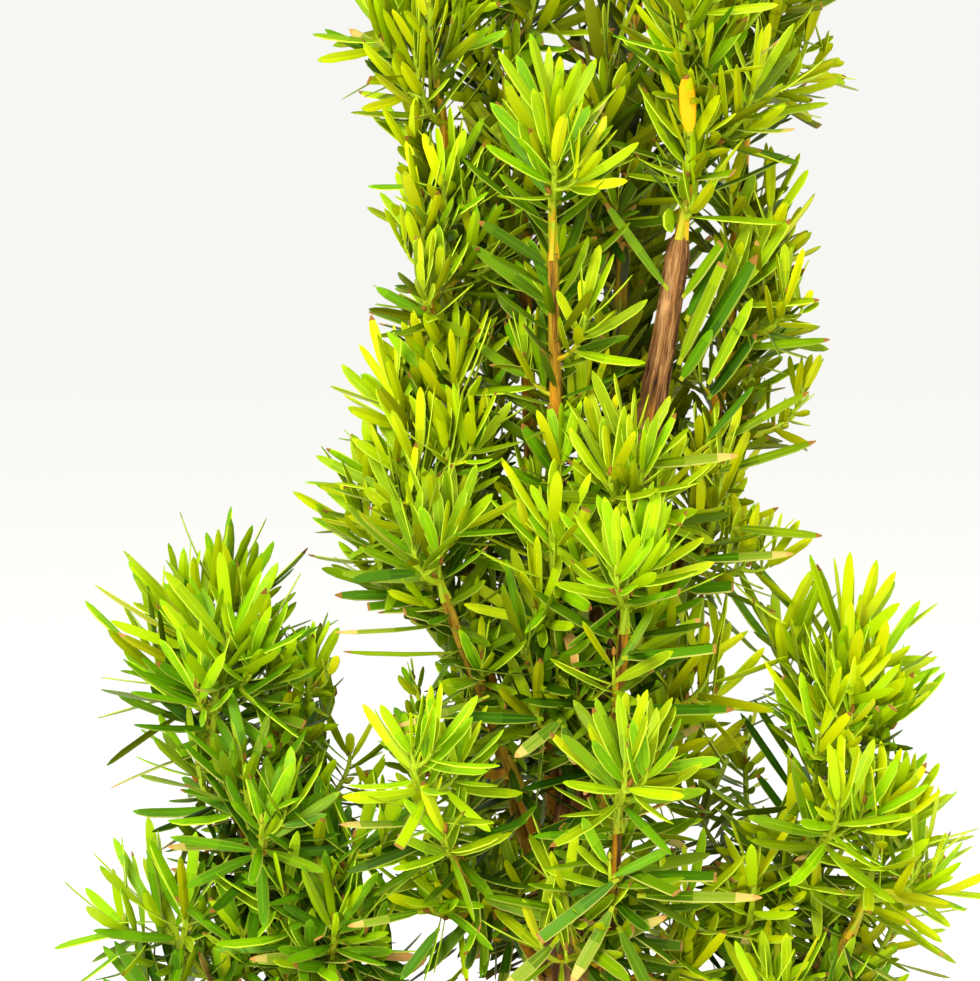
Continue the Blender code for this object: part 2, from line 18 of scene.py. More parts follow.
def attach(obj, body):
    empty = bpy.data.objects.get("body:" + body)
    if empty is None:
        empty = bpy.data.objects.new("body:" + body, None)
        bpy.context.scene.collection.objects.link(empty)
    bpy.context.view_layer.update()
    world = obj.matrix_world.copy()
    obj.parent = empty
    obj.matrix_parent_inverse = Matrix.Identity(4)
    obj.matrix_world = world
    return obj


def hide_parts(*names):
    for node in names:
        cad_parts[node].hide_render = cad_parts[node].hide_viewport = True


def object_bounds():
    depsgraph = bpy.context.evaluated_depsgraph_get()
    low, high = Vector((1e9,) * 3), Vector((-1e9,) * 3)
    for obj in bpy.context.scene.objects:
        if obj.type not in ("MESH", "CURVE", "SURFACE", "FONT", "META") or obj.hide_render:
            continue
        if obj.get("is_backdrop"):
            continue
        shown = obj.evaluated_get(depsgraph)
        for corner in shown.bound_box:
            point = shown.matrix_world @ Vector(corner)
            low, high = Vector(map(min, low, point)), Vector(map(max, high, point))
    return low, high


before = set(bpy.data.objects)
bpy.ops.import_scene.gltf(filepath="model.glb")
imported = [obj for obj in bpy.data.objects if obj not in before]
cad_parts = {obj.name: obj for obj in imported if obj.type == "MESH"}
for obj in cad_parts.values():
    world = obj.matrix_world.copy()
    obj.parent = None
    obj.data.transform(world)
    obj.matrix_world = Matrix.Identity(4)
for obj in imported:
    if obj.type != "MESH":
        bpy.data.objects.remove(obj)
cad_low, cad_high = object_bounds()
print("the packed model measures", [round(high - low, 4) for low, high in zip(cad_low, cad_high)])

# %% [markdown]
# ## How the plant is laid out
# A yew keeps a plain order. A thin trunk leans a little and bears limbs that turn upright, and
# each limb bears shoots. The two tables name them all, with the heights and directions of the
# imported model, so that what is made here grows on from it. The last column of the shoots is new:
# how fresh the shoot is, from 0 for old dark needles to 1 for this spring's lime green.

# %% Sizes shared by the whole plant
UP = Vector((0.0, 0.0, 1.0))
GAP = 0.0003
GOLDEN_ANGLE = math.radians(137.508)
SOIL_LEVEL = 0.138

TRUNK_TOP = Vector((0.0265, -0.010, 0.384))
TRUNK_BOW = (Vector((-0.014, 0.002, 0.215)), Vector((0.016, -0.004, 0.300)))
TRUNK_RADIUS = 0.0062
TRUNK_TOP_RADIUS = 0.0030
FLARE = 0.0052
FLARE_HEIGHT = 0.012
TRUNK_RINGS = 16
LIMB_SIDES = 6
LIMB_RINGS = 8


class Limb(NamedTuple):
    name: str
    leaves: float
    azimuth: float
    spread: float
    height: float
    bend: float
    foot_radius: float
    tip_radius: float


LIMBS = (
    Limb("leader_front", 0.226, 251, 0.019, 0.379, 0.3, 0.0023, 0.0014),
    Limb("leader_back_left", 0.212, 126, 0.025, 0.424, 0.5, 0.0025, 0.0015),
    Limb("leader_back", 0.244, 58, 0.031, 0.444, 0.3, 0.0024, 0.0014),
    Limb("leader_left", 0.204, 172, 0.034, 0.404, 0.8, 0.0025, 0.0014),
    Limb("leader_right", 0.262, 10, 0.044, 0.398, 0.8, 0.0024, 0.0014),
    Limb("bough_inner_left", 0.208, 224, 0.047, 0.294, 0.0, 0.0021, 0.0013),
    Limb("bough_front_middle", 0.216, 288, 0.037, 0.286, 0.7, 0.0020, 0.0013),
    Limb("bough_front_low", 0.180, 281, 0.050, 0.238, 0.9, 0.0019, 0.0012),
    Limb("bough_front_left", 0.186, 231, 0.055, 0.236, 0.1, 0.0019, 0.0012),
    Limb("bough_left", 0.160, 183, 0.091, 0.240, 0.6, 0.0030, 0.0015),
    Limb("bough_right", 0.168, 350, 0.060, 0.228, 0.8, 0.0026, 0.0015),
    Limb("bough_right_outer", 0.158, 341, 0.074, 0.206, 0.7, 0.0022, 0.0014),
    Limb("bough_back", 0.166, 94, 0.060, 0.242, 0.7, 0.0028, 0.0015),
)


class Shoot(NamedTuple):
    name: str
    limb: str
    at: float
    azimuth: float
    reach: float
    rise: float
    twigs: int
    fresh: float


SHOOTS = (
    Shoot("crown_of_trunk", "trunk", 0, 320, 0.010, 0.078, 3, 0.55),
    Shoot("spray_trunk_middle", "trunk", 0.308, 270, 0.018, 0.025, 1, 0.60),
    Shoot("spray_trunk_low", "trunk", 0.246, 322, 0.024, 0.030, 2, 0.45),
    Shoot("tip_leader_front", "leader_front", 0, 268, 0.007, 0.036, 1, 1.00),
    Shoot("spray_front_upper", "leader_front", 0.288, 262, 0.021, 0.026, 2, 0.95),
    Shoot("spray_front_lower", "leader_front", 0.264, 246, 0.024, 0.020, 1, 0.15),
    Shoot("tip_leader_back_left", "leader_back_left", 0, 110, 0.010, 0.074, 3, 0.45),
    Shoot("spray_back_left", "leader_back_left", 0.352, 132, 0.030, 0.046, 2, 0.45),
    Shoot("tip_leader_back", "leader_back", 0, 40, 0.008, 0.074, 4, 0.50),
    Shoot("spray_back_inner", "leader_back", 0.380, 255, 0.020, 0.052, 2, 0.40),
    Shoot("spray_back", "leader_back", 0.340, 72, 0.032, 0.052, 2, 0.50),
    Shoot("tip_leader_left", "leader_left", 0, 200, 0.010, 0.066, 3, 0.65),
    Shoot("spray_left_top", "leader_left", 0.356, 235, 0.012, 0.038, 2, 0.40),
    Shoot("spray_left_high", "leader_left", 0.318, 262, 0.015, 0.032, 1, 0.70),
    Shoot("spray_left_middle", "leader_left", 0.296, 236, 0.024, 0.032, 1, 0.95),
    Shoot("spray_left_outer", "leader_left", 0.280, 200, 0.030, 0.036, 1, 0.80),
    Shoot("tip_leader_right", "leader_right", 0, 20, 0.008, 0.070, 3, 0.60),
    Shoot("spray_right_top", "leader_right", 0.352, 318, 0.013, 0.042, 2, 0.60),
    Shoot("spray_right_high", "leader_right", 0.326, 10, 0.012, 0.038, 1, 0.60),
    Shoot("spray_right_middle", "leader_right", 0.296, 312, 0.015, 0.030, 2, 0.50),
    Shoot("tip_inner_left", "bough_inner_left", 0, 235, 0.003, 0.018, 1, 0.70),
    Shoot("spray_inner_left", "bough_inner_left", 0.246, 170, 0.024, 0.024, 1, 0.30),
    Shoot("tip_front_middle", "bough_front_middle", 0, 280, 0.003, 0.018, 1, 0.95),
    Shoot("tip_front_low", "bough_front_low", 0, 280, 0.003, 0.018, 1, 0.80),
    Shoot("spray_front_foot", "bough_front_low", 0.202, 232, 0.014, 0.024, 1, 0.30),
    Shoot("spray_foot_right", "bough_front_low", 0.194, 352, 0.022, 0.024, 1, 0.25),
    Shoot("tip_front_left", "bough_front_left", 0, 250, 0.003, 0.018, 1, 0.95),
    Shoot("spray_foot_left", "bough_front_left", 0.206, 205, 0.015, 0.022, 1, 0.30),
    Shoot("tip_left", "bough_left", 0, 165, 0.006, 0.046, 2, 0.90),
    Shoot("spray_left_inside", "bough_left", 0.222, 12, 0.012, 0.052, 1, 0.60),
    Shoot("spray_left_front", "bough_left", 0.216, 258, 0.025, 0.036, 1, 0.65),
    Shoot("spray_left_right", "bough_left", 0.196, 263, 0.024, 0.038, 1, 0.40),
    Shoot("spray_left_low", "bough_left", 0.182, 192, 0.062, 0.031, 2, 0.90),
    Shoot("spray_left_foot", "bough_left", 0.188, 236, 0.034, 0.032, 2, 0.45),
    Shoot("spray_left_back", "bough_left", 0.200, 102, 0.032, 0.048, 2, 0.50),
    Shoot("tip_right", "bough_right", 0, 20, 0.011, 0.052, 2, 0.95),
    Shoot("spray_right_front", "bough_right", 0.214, 296, 0.013, 0.044, 1, 0.95),
    Shoot("spray_right_inside", "bough_right", 0.188, 288, 0.024, 0.036, 1, 0.70),
    Shoot("spray_right_back", "bough_right", 0.200, 92, 0.036, 0.050, 2, 0.50),
    Shoot("tip_right_outer", "bough_right_outer", 0, 330, 0.008, 0.032, 2, 1.00),
    Shoot("spray_right_low", "bough_right_outer", 0.184, 16, 0.030, 0.030, 1, 0.70),
    Shoot("spray_right_foot", "bough_right_outer", 0.174, 298, 0.024, 0.022, 1, 0.70),
    Shoot("tip_back", "bough_back", 0, 90, 0.006, 0.062, 3, 0.75),
    Shoot("spray_back_low", "bough_back", 0.200, 130, 0.034, 0.050, 2, 0.55),
)
print(len(LIMBS), "limbs and", len(SHOOTS), "shoots")

# %% [markdown]
# ## Lines that grow
# Every stem follows a cubic Bezier curve. It leaves the wood that bears it at a wide angle and
# then turns up towards the light, which is how a yew's side shoots stand. The limbs and stems
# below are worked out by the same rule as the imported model, so they lie where it has them.

# %% Curves and directions
def polar(azimuth, distance, height=0.0):
    turn = math.radians(azimuth)
    return Vector((distance * math.cos(turn), distance * math.sin(turn), height))


def bezier(foot, first, second, tip, share):
    rest = 1.0 - share
    return (
        foot * rest**3
        + first * 3 * rest**2 * share
        + second * 3 * rest * share**2
        + tip * share**3
    )


def curve_of(foot, first, second, tip, rings):
    return [bezier(foot, first, second, tip, i / (rings - 1)) for i in range(rings)]


def length_of(line):
    return sum((after - before).length for before, after in zip(line, line[1:]))


def tangent_at(line, index):
    before = line[max(index - 1, 0)]
    after = line[min(index + 1, len(line) - 1)]
    return (after - before).normalized()


def along(line, share):
    place = min(max(share, 0.0), 1.0) * (len(line) - 1)
    index = min(int(place), len(line) - 2)
    point = line[index].lerp(line[index + 1], place - index)
    return point, (line[index + 1] - line[index]).normalized()


def even(line, rings):
    return [along(line, i / (rings - 1))[0] for i in range(rings)]


def at_height(line, height):
    for index in range(len(line) - 1):
        low, high = line[index].z, line[index + 1].z
        if low <= height <= high:
            return (index + (height - low) / (high - low)) / (len(line) - 1)
    raise ValueError(f"no point of the line is {height} high")


def square_to(direction):
    other = Vector((1.0, 0.0, 0.0)) if abs(direction.x) < 0.8 else Vector((0.0, 1.0, 0.0))
    first = (other - direction * other.dot(direction)).normalized()
    return first, direction.cross(first)

# %% The trunk and the limbs, as lines with a radius
def trunk_line():
    foot = Vector((0.0, 0.0, SOIL_LEVEL + GAP))
    return curve_of(foot, *TRUNK_BOW, TRUNK_TOP, TRUNK_RINGS)


def trunk_radius(height):
    share = (height - SOIL_LEVEL) / (TRUNK_TOP.z - SOIL_LEVEL)
    taper = TRUNK_RADIUS + (TRUNK_TOP_RADIUS - TRUNK_RADIUS) * share
    return taper + FLARE * math.exp(-(height - SOIL_LEVEL) / FLARE_HEIGHT)


def limb_line(limb):
    trunk = trunk_line()
    foot = along(trunk, at_height(trunk, limb.leaves))[0]
    tip = polar(limb.azimuth, limb.spread, limb.height)
    rise = UP * (tip.z - foot.z)
    out = tip - foot - rise
    first = foot + out * (1 + 1.2 * limb.bend) / 3 + rise * (1 - 0.7 * limb.bend) / 3
    second = tip - out * (1 - limb.bend) / 3 - rise * (1 + 0.3 * limb.bend) / 3
    return curve_of(foot, first, second, tip, LIMB_RINGS * 2)


def clear_of_trunk(point, direction, radius):
    trunk = trunk_line()
    across, over = square_to(direction)
    for side in range(LIMB_SIDES):
        turn = math.tau * side / LIMB_SIDES
        corner = point + radius * (across * math.cos(turn) + over * math.sin(turn))
        height = min(max(corner.z, trunk[0].z), trunk[-1].z)
        centre = along(trunk, at_height(trunk, height))[0]
        if (corner - centre).length < trunk_radius(height) + GAP:
            return False
    return True


def outside_trunk(line, radius):
    parts = 8
    for index in range(len(line) - 1):
        for part in range(parts):
            point = line[index].lerp(line[index + 1], part / parts)
            direction = (line[index + 1] - line[index]).normalized()
            if clear_of_trunk(point, direction, radius):
                return [point, *line[index + 1 :]]
    raise ValueError("the limb never leaves the trunk")


trunk = trunk_line()
limb_lines = {"trunk": (trunk, [trunk_radius(point.z) for point in trunk])}
for limb in LIMBS:
    line = even(outside_trunk(limb_line(limb), limb.foot_radius), LIMB_RINGS)
    step = (limb.tip_radius - limb.foot_radius) / (LIMB_RINGS - 1)
    limb_lines[limb.name] = (line, [limb.foot_radius + step * ring for ring in range(LIMB_RINGS)])
lengths = {name: round(length_of(line) * 1000) for name, (line, _) in limb_lines.items()}
print("limb lengths in mm:", lengths)

# %% [markdown]
# ## Stems, twigs and the finer twigs
# A shoot is one stem with side twigs, set round it by the golden angle, as leaves and buds are.
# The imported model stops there. Here each stem and twig also bears short finer twigs. One class
# holds any of these growths: its line, its thickness, and how old its wood is.

# %% One growth, and the rule for stems and twigs
STEM_RINGS = 7
SHORTEST_TWIG, LONGEST_TWIG = 0.018, 0.027
FINE_RINGS = 24  # points along each growth here, for a smooth line


class Growth(NamedTuple):
    owner: str  # the shoot or limb that it belongs to
    order: int  # 0 a limb, 1 a stem, 2 a twig, 3 a fine twig
    line: list
    foot_radius: float
    tip_radius: float
    fresh: float


def stem_control(shoot, line, radii):
    """Foot, two control points and tip of a shoot's stem."""
    out = polar(shoot.azimuth, 1.0)
    if shoot.at:
        share = at_height(line, shoot.at)
        centre, direction = along(line, share)
        radius = radii[0] + (radii[-1] - radii[0]) * share
        if shoot.limb == "trunk":
            radius = trunk_radius(shoot.at)
        facing = (out - direction * out.dot(direction)).normalized()
        foot = centre + facing * (radius + GAP)
        first = foot + facing * max(shoot.reach * 0.45, 0.002)
        tip = foot + out * shoot.reach + UP * shoot.rise
        second = tip - UP * shoot.rise * 0.6 - out * shoot.reach * 0.15
    else:
        facing = tangent_at(line, len(line) - 1)
        foot = line[-1] + facing * GAP
        tip = foot + out * shoot.reach + UP * shoot.rise
        first = foot + facing * shoot.rise * 0.35
        second = tip - UP * shoot.rise * 0.35 - out * shoot.reach * 0.1
    return foot, first, second, tip


def side_twig(foot, side, direction, size, first_out, tip_out, tip_on):
    """Control points of a twig that leaves to one side and then turns up."""
    first = foot + side * size * first_out + direction * size * 0.10
    tip = foot + side * size * tip_out + (direction + UP) * size * tip_on
    second = tip - UP * size * 0.30
    return foot, first, second, tip


def twig_controls(shoot, stem):
    draw = random.Random(shoot.name)
    length = length_of(stem)
    for index in range(shoot.twigs):
        share = 0.20 + 0.40 * (index + draw.random()) / shoot.twigs
        foot, direction = along(stem, share)
        across, over = square_to(direction)
        turn = math.radians(shoot.azimuth) + index * GOLDEN_ANGLE + draw.uniform(-0.5, 0.5)
        side = across * math.cos(turn) + over * math.sin(turn)
        size = min(max(length * draw.uniform(0.45, 0.60), SHORTEST_TWIG), LONGEST_TWIG)
        yield side_twig(foot, side, direction, size, 0.40, 0.62, 0.38)


LIMB_FRESH = 0.2
STEM_THICK, LEADING_STEM_THICK = (0.0013, 0.0007), (0.0016, 0.0009)  # radii at foot and tip
TWIG_THICK, ADDED_TWIG_THICK, FINE_TWIG_THICK = (0.0009, 0.0006), (0.0010, 0.0007), (0.0006, 0.0004)
growths = []
for limb in LIMBS:
    line = even(limb_lines[limb.name][0], FINE_RINGS * 2)
    growths.append(Growth(limb.name, 0, line, limb.foot_radius, limb.tip_radius, LIMB_FRESH))
for shoot in SHOOTS:
    control = stem_control(shoot, *limb_lines[shoot.limb])
    thick = LEADING_STEM_THICK if shoot.name == "crown_of_trunk" else STEM_THICK
    growths.append(Growth(shoot.name, 1, curve_of(*control, FINE_RINGS * 2), *thick, shoot.fresh))
    for control in twig_controls(shoot, curve_of(*control, STEM_RINGS)):
        line = curve_of(*control, FINE_RINGS)
        growths.append(Growth(shoot.name, 2, line, *TWIG_THICK, shoot.fresh))
print(len(growths), "growths so far")

# %% A few more twigs that stand in front of the others
FRONT_TWIGS = (  # the shoot that bears it, share of its stem, azimuth, reach, rise, fresh
    ("leader_left", 0.90, 265, 0.012, 0.018, 0.80),
    ("leader_left", 0.97, 205, 0.010, 0.012, 0.80),
    ("leader_back_left", 0.82, 250, 0.014, 0.024, 0.75),
    ("leader_back_left", 0.95, 225, 0.014, 0.018, 0.75),
    ("bough_left", 0.93, 192, 0.010, 0.014, 0.60),
    ("spray_left_high", 0.55, 190, 0.016, 0.018, 0.90),
    ("spray_left_middle", 0.60, 188, 0.010, 0.018, 0.90),
    ("tip_right", 0.85, 60, 0.007, 0.008, 1.00),
    ("crown_of_trunk", 0.05, 300, 0.006, 0.010, 0.60),
    ("leader_left", 0.70, 225, 0.012, 0.018, 0.60),
    ("crown_of_trunk", 0.16, 268, 0.008, 0.017, 0.95),
    ("crown_of_trunk", 0.42, 240, 0.010, 0.018, 0.70),
    ("tip_leader_left", 0.30, 262, 0.011, 0.020, 0.85),
    ("tip_leader_left", 0.55, 215, 0.010, 0.020, 0.80),
    ("tip_leader_left", 0.12, 235, 0.012, 0.020, 0.85),
    ("tip_leader_back_left", 0.30, 262, 0.016, 0.022, 0.75),
    ("tip_leader_back_left", 0.12, 285, 0.020, 0.026, 0.75),
    ("tip_leader_right", 0.25, 300, 0.010, 0.020, 0.60),
    ("tip_left", 0.30, 285, 0.011, 0.022, 0.95),
    ("tip_left", 0.45, 345, 0.013, 0.020, 0.90),
    ("tip_left", 0.72, 40, 0.006, 0.020, 1.00),
    ("spray_left_inside", 0.70, 190, 0.008, 0.015, 0.95),
    ("spray_left_inside", 0.85, 280, 0.008, 0.013, 0.95),
    ("spray_left_right", 0.78, 335, 0.010, 0.012, 0.45),
    ("spray_left_low", 0.62, 150, 0.010, 0.020, 0.90),
    ("spray_left_low", 0.86, 192, 0.013, 0.005, 1.00),
    ("spray_left_low", 0.84, 290, 0.008, 0.012, 1.00),
    ("spray_left_low", 0.50, 205, 0.026, 0.004, 0.45),
    ("spray_trunk_low", 0.75, 350, 0.012, 0.012, 0.45),
    ("tip_right", 0.45, 350, 0.011, 0.022, 1.00),
    ("tip_right", 0.30, 275, 0.010, 0.020, 0.90),
)
stems = {growth.owner: growth for growth in growths if growth.order < 2}


def twig_from(name, share, azimuth, reach, rise, fresh):
    foot = along(stems[name].line, share)[0]
    tip = foot + polar(azimuth, reach, rise)
    first, second = foot + polar(azimuth, reach * 0.6), tip - UP * rise * 0.5
    return Growth(name, 2, curve_of(foot, first, second, tip, FINE_RINGS), *ADDED_TWIG_THICK, fresh)


growths += [twig_from(*row) for row in FRONT_TWIGS]
print(len(FRONT_TWIGS), "front twigs")

# %% [markdown]
# A grid of small cells keeps growths and needles out of each other. Every growth claims the
# cells along its line, and what comes later asks for a free way between them.

# %% Which places are taken
class Room:
    """Points that are taken, found by the small cell they lie in."""

    def __init__(self, cell):
        self.cell = cell
        self.cells = {}

    def key(self, point):
        return tuple(int(math.floor(value / self.cell)) for value in point)

    def claim(self, point, tag):
        self.cells.setdefault(self.key(point), []).append((point.copy(), tag))

    def near(self, point, reach, tag=None):
        """How many taken points of other tags lie within that reach, which is at most a cell."""
        x, y, z = self.key(point)
        count = 0
        for dx, dy, dz in product((-1, 0, 1), repeat=3):
            for other, owner in self.cells.get((x + dx, y + dy, z + dz), ()):
                if owner != tag and (other - point).length < reach:
                    count += 1
        return count


wood = Room(0.004)


CLAIM_EVERY, TRUNK_CLAIMS = 0.0008, 400


def claim_growth(index, growth):
    length = length_of(growth.line)
    for part in range(int(length / CLAIM_EVERY) + 1):
        wood.claim(along(growth.line, part * CLAIM_EVERY / length)[0], index)


for part in range(TRUNK_CLAIMS):
    wood.claim(along(trunk, part / (TRUNK_CLAIMS - 1))[0], "trunk")
for index, growth in enumerate(growths):
    claim_growth(index, growth)

# %% The finer twigs
FINE_EVERY = 0.0165  # a fine twig on each such stretch of a growth
FINE_SIZE = (0.008, 0.014)
FINE_ROOM = 0.0035  # how far it keeps from other wood
SHORTEST_PARENT = 0.016
for parent, growth in list(enumerate(growths)):
    length = length_of(growth.line)
    if length < SHORTEST_PARENT:
        continue
    low, high = (0.30, 0.95) if growth.order == 0 else (0.28, 0.78)
    draw = random.Random(f"{growth.owner} {parent} fine twigs")
    for index in range(int(length / FINE_EVERY)):
        share = low + (high - low) * (index + draw.random()) / int(length / FINE_EVERY)
        foot, direction = along(growth.line, share)
        across, over = square_to(direction)
        for attempt in range(5):
            turn = (index + attempt * 0.4) * GOLDEN_ANGLE + draw.uniform(-0.4, 0.4)
            side = across * math.cos(turn) + over * math.sin(turn)
            size = draw.uniform(*FINE_SIZE) * (1.4 if growth.order == 0 else 1.0)
            control = side_twig(foot, side, direction, size, 0.45, 0.60, 0.40)
            line = curve_of(*control, FINE_RINGS // 2)
            if not any(wood.near(point, FINE_ROOM, parent) for point in line[4:]):
                fresh = 0.35 if growth.order == 0 else growth.fresh
                growths.append(Growth(growth.owner, 3, line, *FINE_TWIG_THICK, fresh))
                claim_growth(len(growths) - 1, growths[-1])
                break
print(sum(growth.order == 3 for growth in growths), "finer twigs,", len(growths), "growths in all")

# %% A few more that cover the foot of the crown at the back
BACK_TWIGS = (  # as the front twigs
    ("leader_back", 0.10, 45, 0.020, 0.022, 0.50),
    ("leader_back", 0.22, 75, 0.016, 0.024, 0.50),
    ("leader_back", 0.30, 20, 0.016, 0.024, 0.45),
    ("bough_back", 0.14, 30, 0.018, 0.024, 0.40),
    ("bough_back", 0.32, 25, 0.018, 0.030, 0.50),
    ("bough_back", 0.32, 160, 0.016, 0.026, 0.50),
    ("leader_back_left", 0.05, 95, 0.018, 0.024, 0.50),
    ("leader_back_left", 0.18, 105, 0.016, 0.026, 0.50),
    ("leader_right", 0.12, 70, 0.016, 0.024, 0.45),
)
growths += [twig_from(*row) for row in BACK_TWIGS]
print(len(BACK_TWIGS), "back twigs")

# %% [markdown]
# ## The shape of one needle
# A yew's needle is a flat strip with nearly even sides, a short twisted stalk and a blunt
# point. Its upper face is a little convex, with a raised rib and a paler edge; the rib's and the
# edge's colours further on are partly that and partly a painted sheen. One needle is made here by
# drawing a flat section out along its length, and thousands of bent, turned and scaled copies of
# it are joined afterwards. Its faces are few, because it is repeated so often.

# %% One needle
SECTION = (  # across and up, each as a share of the half width
    (-1.0, -0.06), (-0.84, 0.12), (-0.11, 0.20), (0.11, 0.20), (0.84, 0.12), (1.0, -0.06),
    (0.0, -0.16),
)
STATIONS = (0.00, 0.07, 0.20, 0.45, 0.79, 0.93, 1.00)  # shares of the length
CLIPPED_AT = (0.00, 0.07, 0.20, 0.45, 0.79, 0.968, 1.00)  # a clipped needle's are these
WIDTHS = {  # shares of the half width at those stations
    "grown": (0.38, 0.40, 0.80, 1.00, 0.93, 0.60, 0.12),
    "clipped": (0.38, 0.40, 0.80, 1.00, 0.98, 0.94, 0.86),
}


def needle_template():
    """Points as (across, along, up) and faces as corners, with a role for each face."""
    shape = bmesh.new()
    ring = [shape.verts.new((across, 0.0, up)) for across, up in SECTION]
    shape.faces.new(ring)
    for station in STATIONS[1:]:
        edges = [shape.edges.get(pair) for pair in zip(ring, ring[1:] + ring[:1])]
        drawn = bmesh.ops.extrude_edge_only(shape, edges=edges)["geom"]
        fresh = [item for item in drawn if isinstance(item, bmesh.types.BMVert)]
        above = {edge.other_vert(vert): vert for vert in fresh for edge in vert.link_edges}
        ring = [above[vert] for vert in ring]
        for vert in ring:
            vert.co.y = station
    shape.faces.new(reversed(ring))
    bmesh.ops.recalc_face_normals(shape, faces=shape.faces)
    shape.verts.index_update()
    points = np.array([vert.co for vert in shape.verts])
    faces = [[vert.index for vert in face.verts] for face in shape.faces]
    roles = [role_of(face.calc_center_median(), len(face.verts)) for face in shape.faces]
    shape.free()
    return points, faces, roles


def role_of(middle, corners):
    """What part of a needle a face is, by where its middle lies."""
    segment = int(np.searchsorted(STATIONS, middle.y)) - 1
    if segment <= 0:
        return "stalk"
    if corners == len(SECTION) or segment == len(STATIONS) - 2:
        return "point"
    if middle.z < 0:
        return "under_left" if middle.x < 0 else "under_right"
    if abs(middle.x) < 0.05 and segment < len(STATIONS) - 3:
        return "rib"
    if abs(middle.x) > 0.85:
        return "edge"
    return "inner" if segment < 3 else "outer" if segment == 3 else "end"


def shaped(points, kind):
    """The template's points with the widths of a grown or a clipped needle."""
    width = np.interp(points[:, 1], STATIONS, WIDTHS[kind])
    along = np.interp(points[:, 1], STATIONS, CLIPPED_AT) if kind == "clipped" else points[:, 1]
    return np.stack([points[:, 0] * width, along, points[:, 2] * (0.35 + 0.65 * width)], axis=1)


template_points, needle_faces, needle_roles = needle_template()
needle_shapes = np.stack([shaped(template_points, kind) for kind in WIDTHS])
ROLES = ("stalk", "inner", "outer", "end", "edge", "rib", "under_left", "under_right", "point")
print(len(template_points), "points and", len(needle_faces), "faces in one needle")

# %% [markdown]
# ## The colours of the needles
# A yew's new needles are lime green, last year's are mid green and the oldest are dark, cool
# green. One scale of plain colours runs from dark to light, and each needle takes neighbouring
# steps of it for its blade, its rib and its paler edge. The blade is a step darker at its foot as
# painted shade, which lifts towards its point. The rib and the edge are partly paler in their own
# colour and partly a painted sheen. The two halves of the underside are painted lighter and darker
# as shading across the midrib. Plain colours stay exact in any exported file, whatever way its
# surfaces are unwrapped.

# %% The scale of greens
def linear(red, green, blue):
    def one(value):
        share = value / 255
        return share / 12.92 if share <= 0.04045 else ((share + 0.055) / 1.055) ** 2.4

    return one(red), one(green), one(blue), 1.0


GREEN_VALUES = (42, 56, 71, 87, 104, 121, 138, 154, 169, 183, 195, 206)
GREEN_HUES = (89, 87, 84, 81, 79, 77, 75, 73, 71, 69, 66, 64)  # degrees: 60 yellow, 120 green
UNDER_VALUES = (56, 78, 101, 125, 150, 175, 198)
UNDER_HUES = (72, 70, 68, 67, 66, 65, 65)
HUES = {"warm": -4, "plain": 0, "cool": 6}  # degrees away from those
# Paler colours for the needles' edges: partly their own paler margin, partly a painted sheen; fading
# needles take them too.
MARGINS_AND_SHEEN = ((84, 108, 20), (122, 140, 36), (162, 166, 70), (182, 208, 46))
OTHER_TONES = {
    "stalk": (146, 156, 26), "brown_tip": (138, 96, 38), "clipped_end": (154, 114, 54),
    "straw": (184, 166, 84), "pale_rust": (196, 146, 78), "amber": (232, 168, 14),
}


def green_of(value, hue):
    """A strong colour of that hue, between yellow and green."""
    return round(value * (120 - hue) / 60), value, round(value * 0.03)


def plain_finish(name, colour, roughness=0.40, specular=0.07):
    """A Principled material of one base colour, made the first time it is asked for."""
    found = bpy.data.materials.get(name)
    if found:
        return found
    material = bpy.data.materials.new(name)
    material.use_nodes = True
    shader = material.node_tree.nodes["Principled BSDF"]
    shader.inputs["Base Color"].default_value = linear(*colour)
    shader.inputs["Roughness"].default_value = roughness
    shader.inputs["Specular IOR Level"].default_value = specular
    return material


scales = {"margin": MARGINS_AND_SHEEN}
for hue, shift in HUES.items():
    greens, unders = zip(GREEN_VALUES, GREEN_HUES), zip(UNDER_VALUES, UNDER_HUES)
    scales[f"green_{hue}"] = [green_of(value, at + shift) for value, at in greens]
    scales[f"under_{hue}"] = [green_of(value, at + shift * 0.8) for value, at in unders]
needle_finishes, FIRST = [], {}
for family, tones in scales.items():
    FIRST[family] = len(needle_finishes)
    for number, tone in enumerate(tones):
        needle_finishes.append(plain_finish(f"needle_{family}_{number:02d}", tone))
for name, tone in OTHER_TONES.items():
    FIRST[name] = len(needle_finishes)
    needle_finishes.append(plain_finish(f"needle_{name}", tone, 0.6))
print(len(needle_finishes), "plain colours for needles")

# %% [markdown]
# ## Where the needles stand
# Needles leave a stem one by one, each a golden angle further round. Near the tip they are
# short, close and nearly upright, so every tip is a star. Further down they spread, grow long
# and darken. Their faces turn towards the light, which comes from above and from outside the
# bush. A needle that would run through wood or through its neighbours tries another way first.

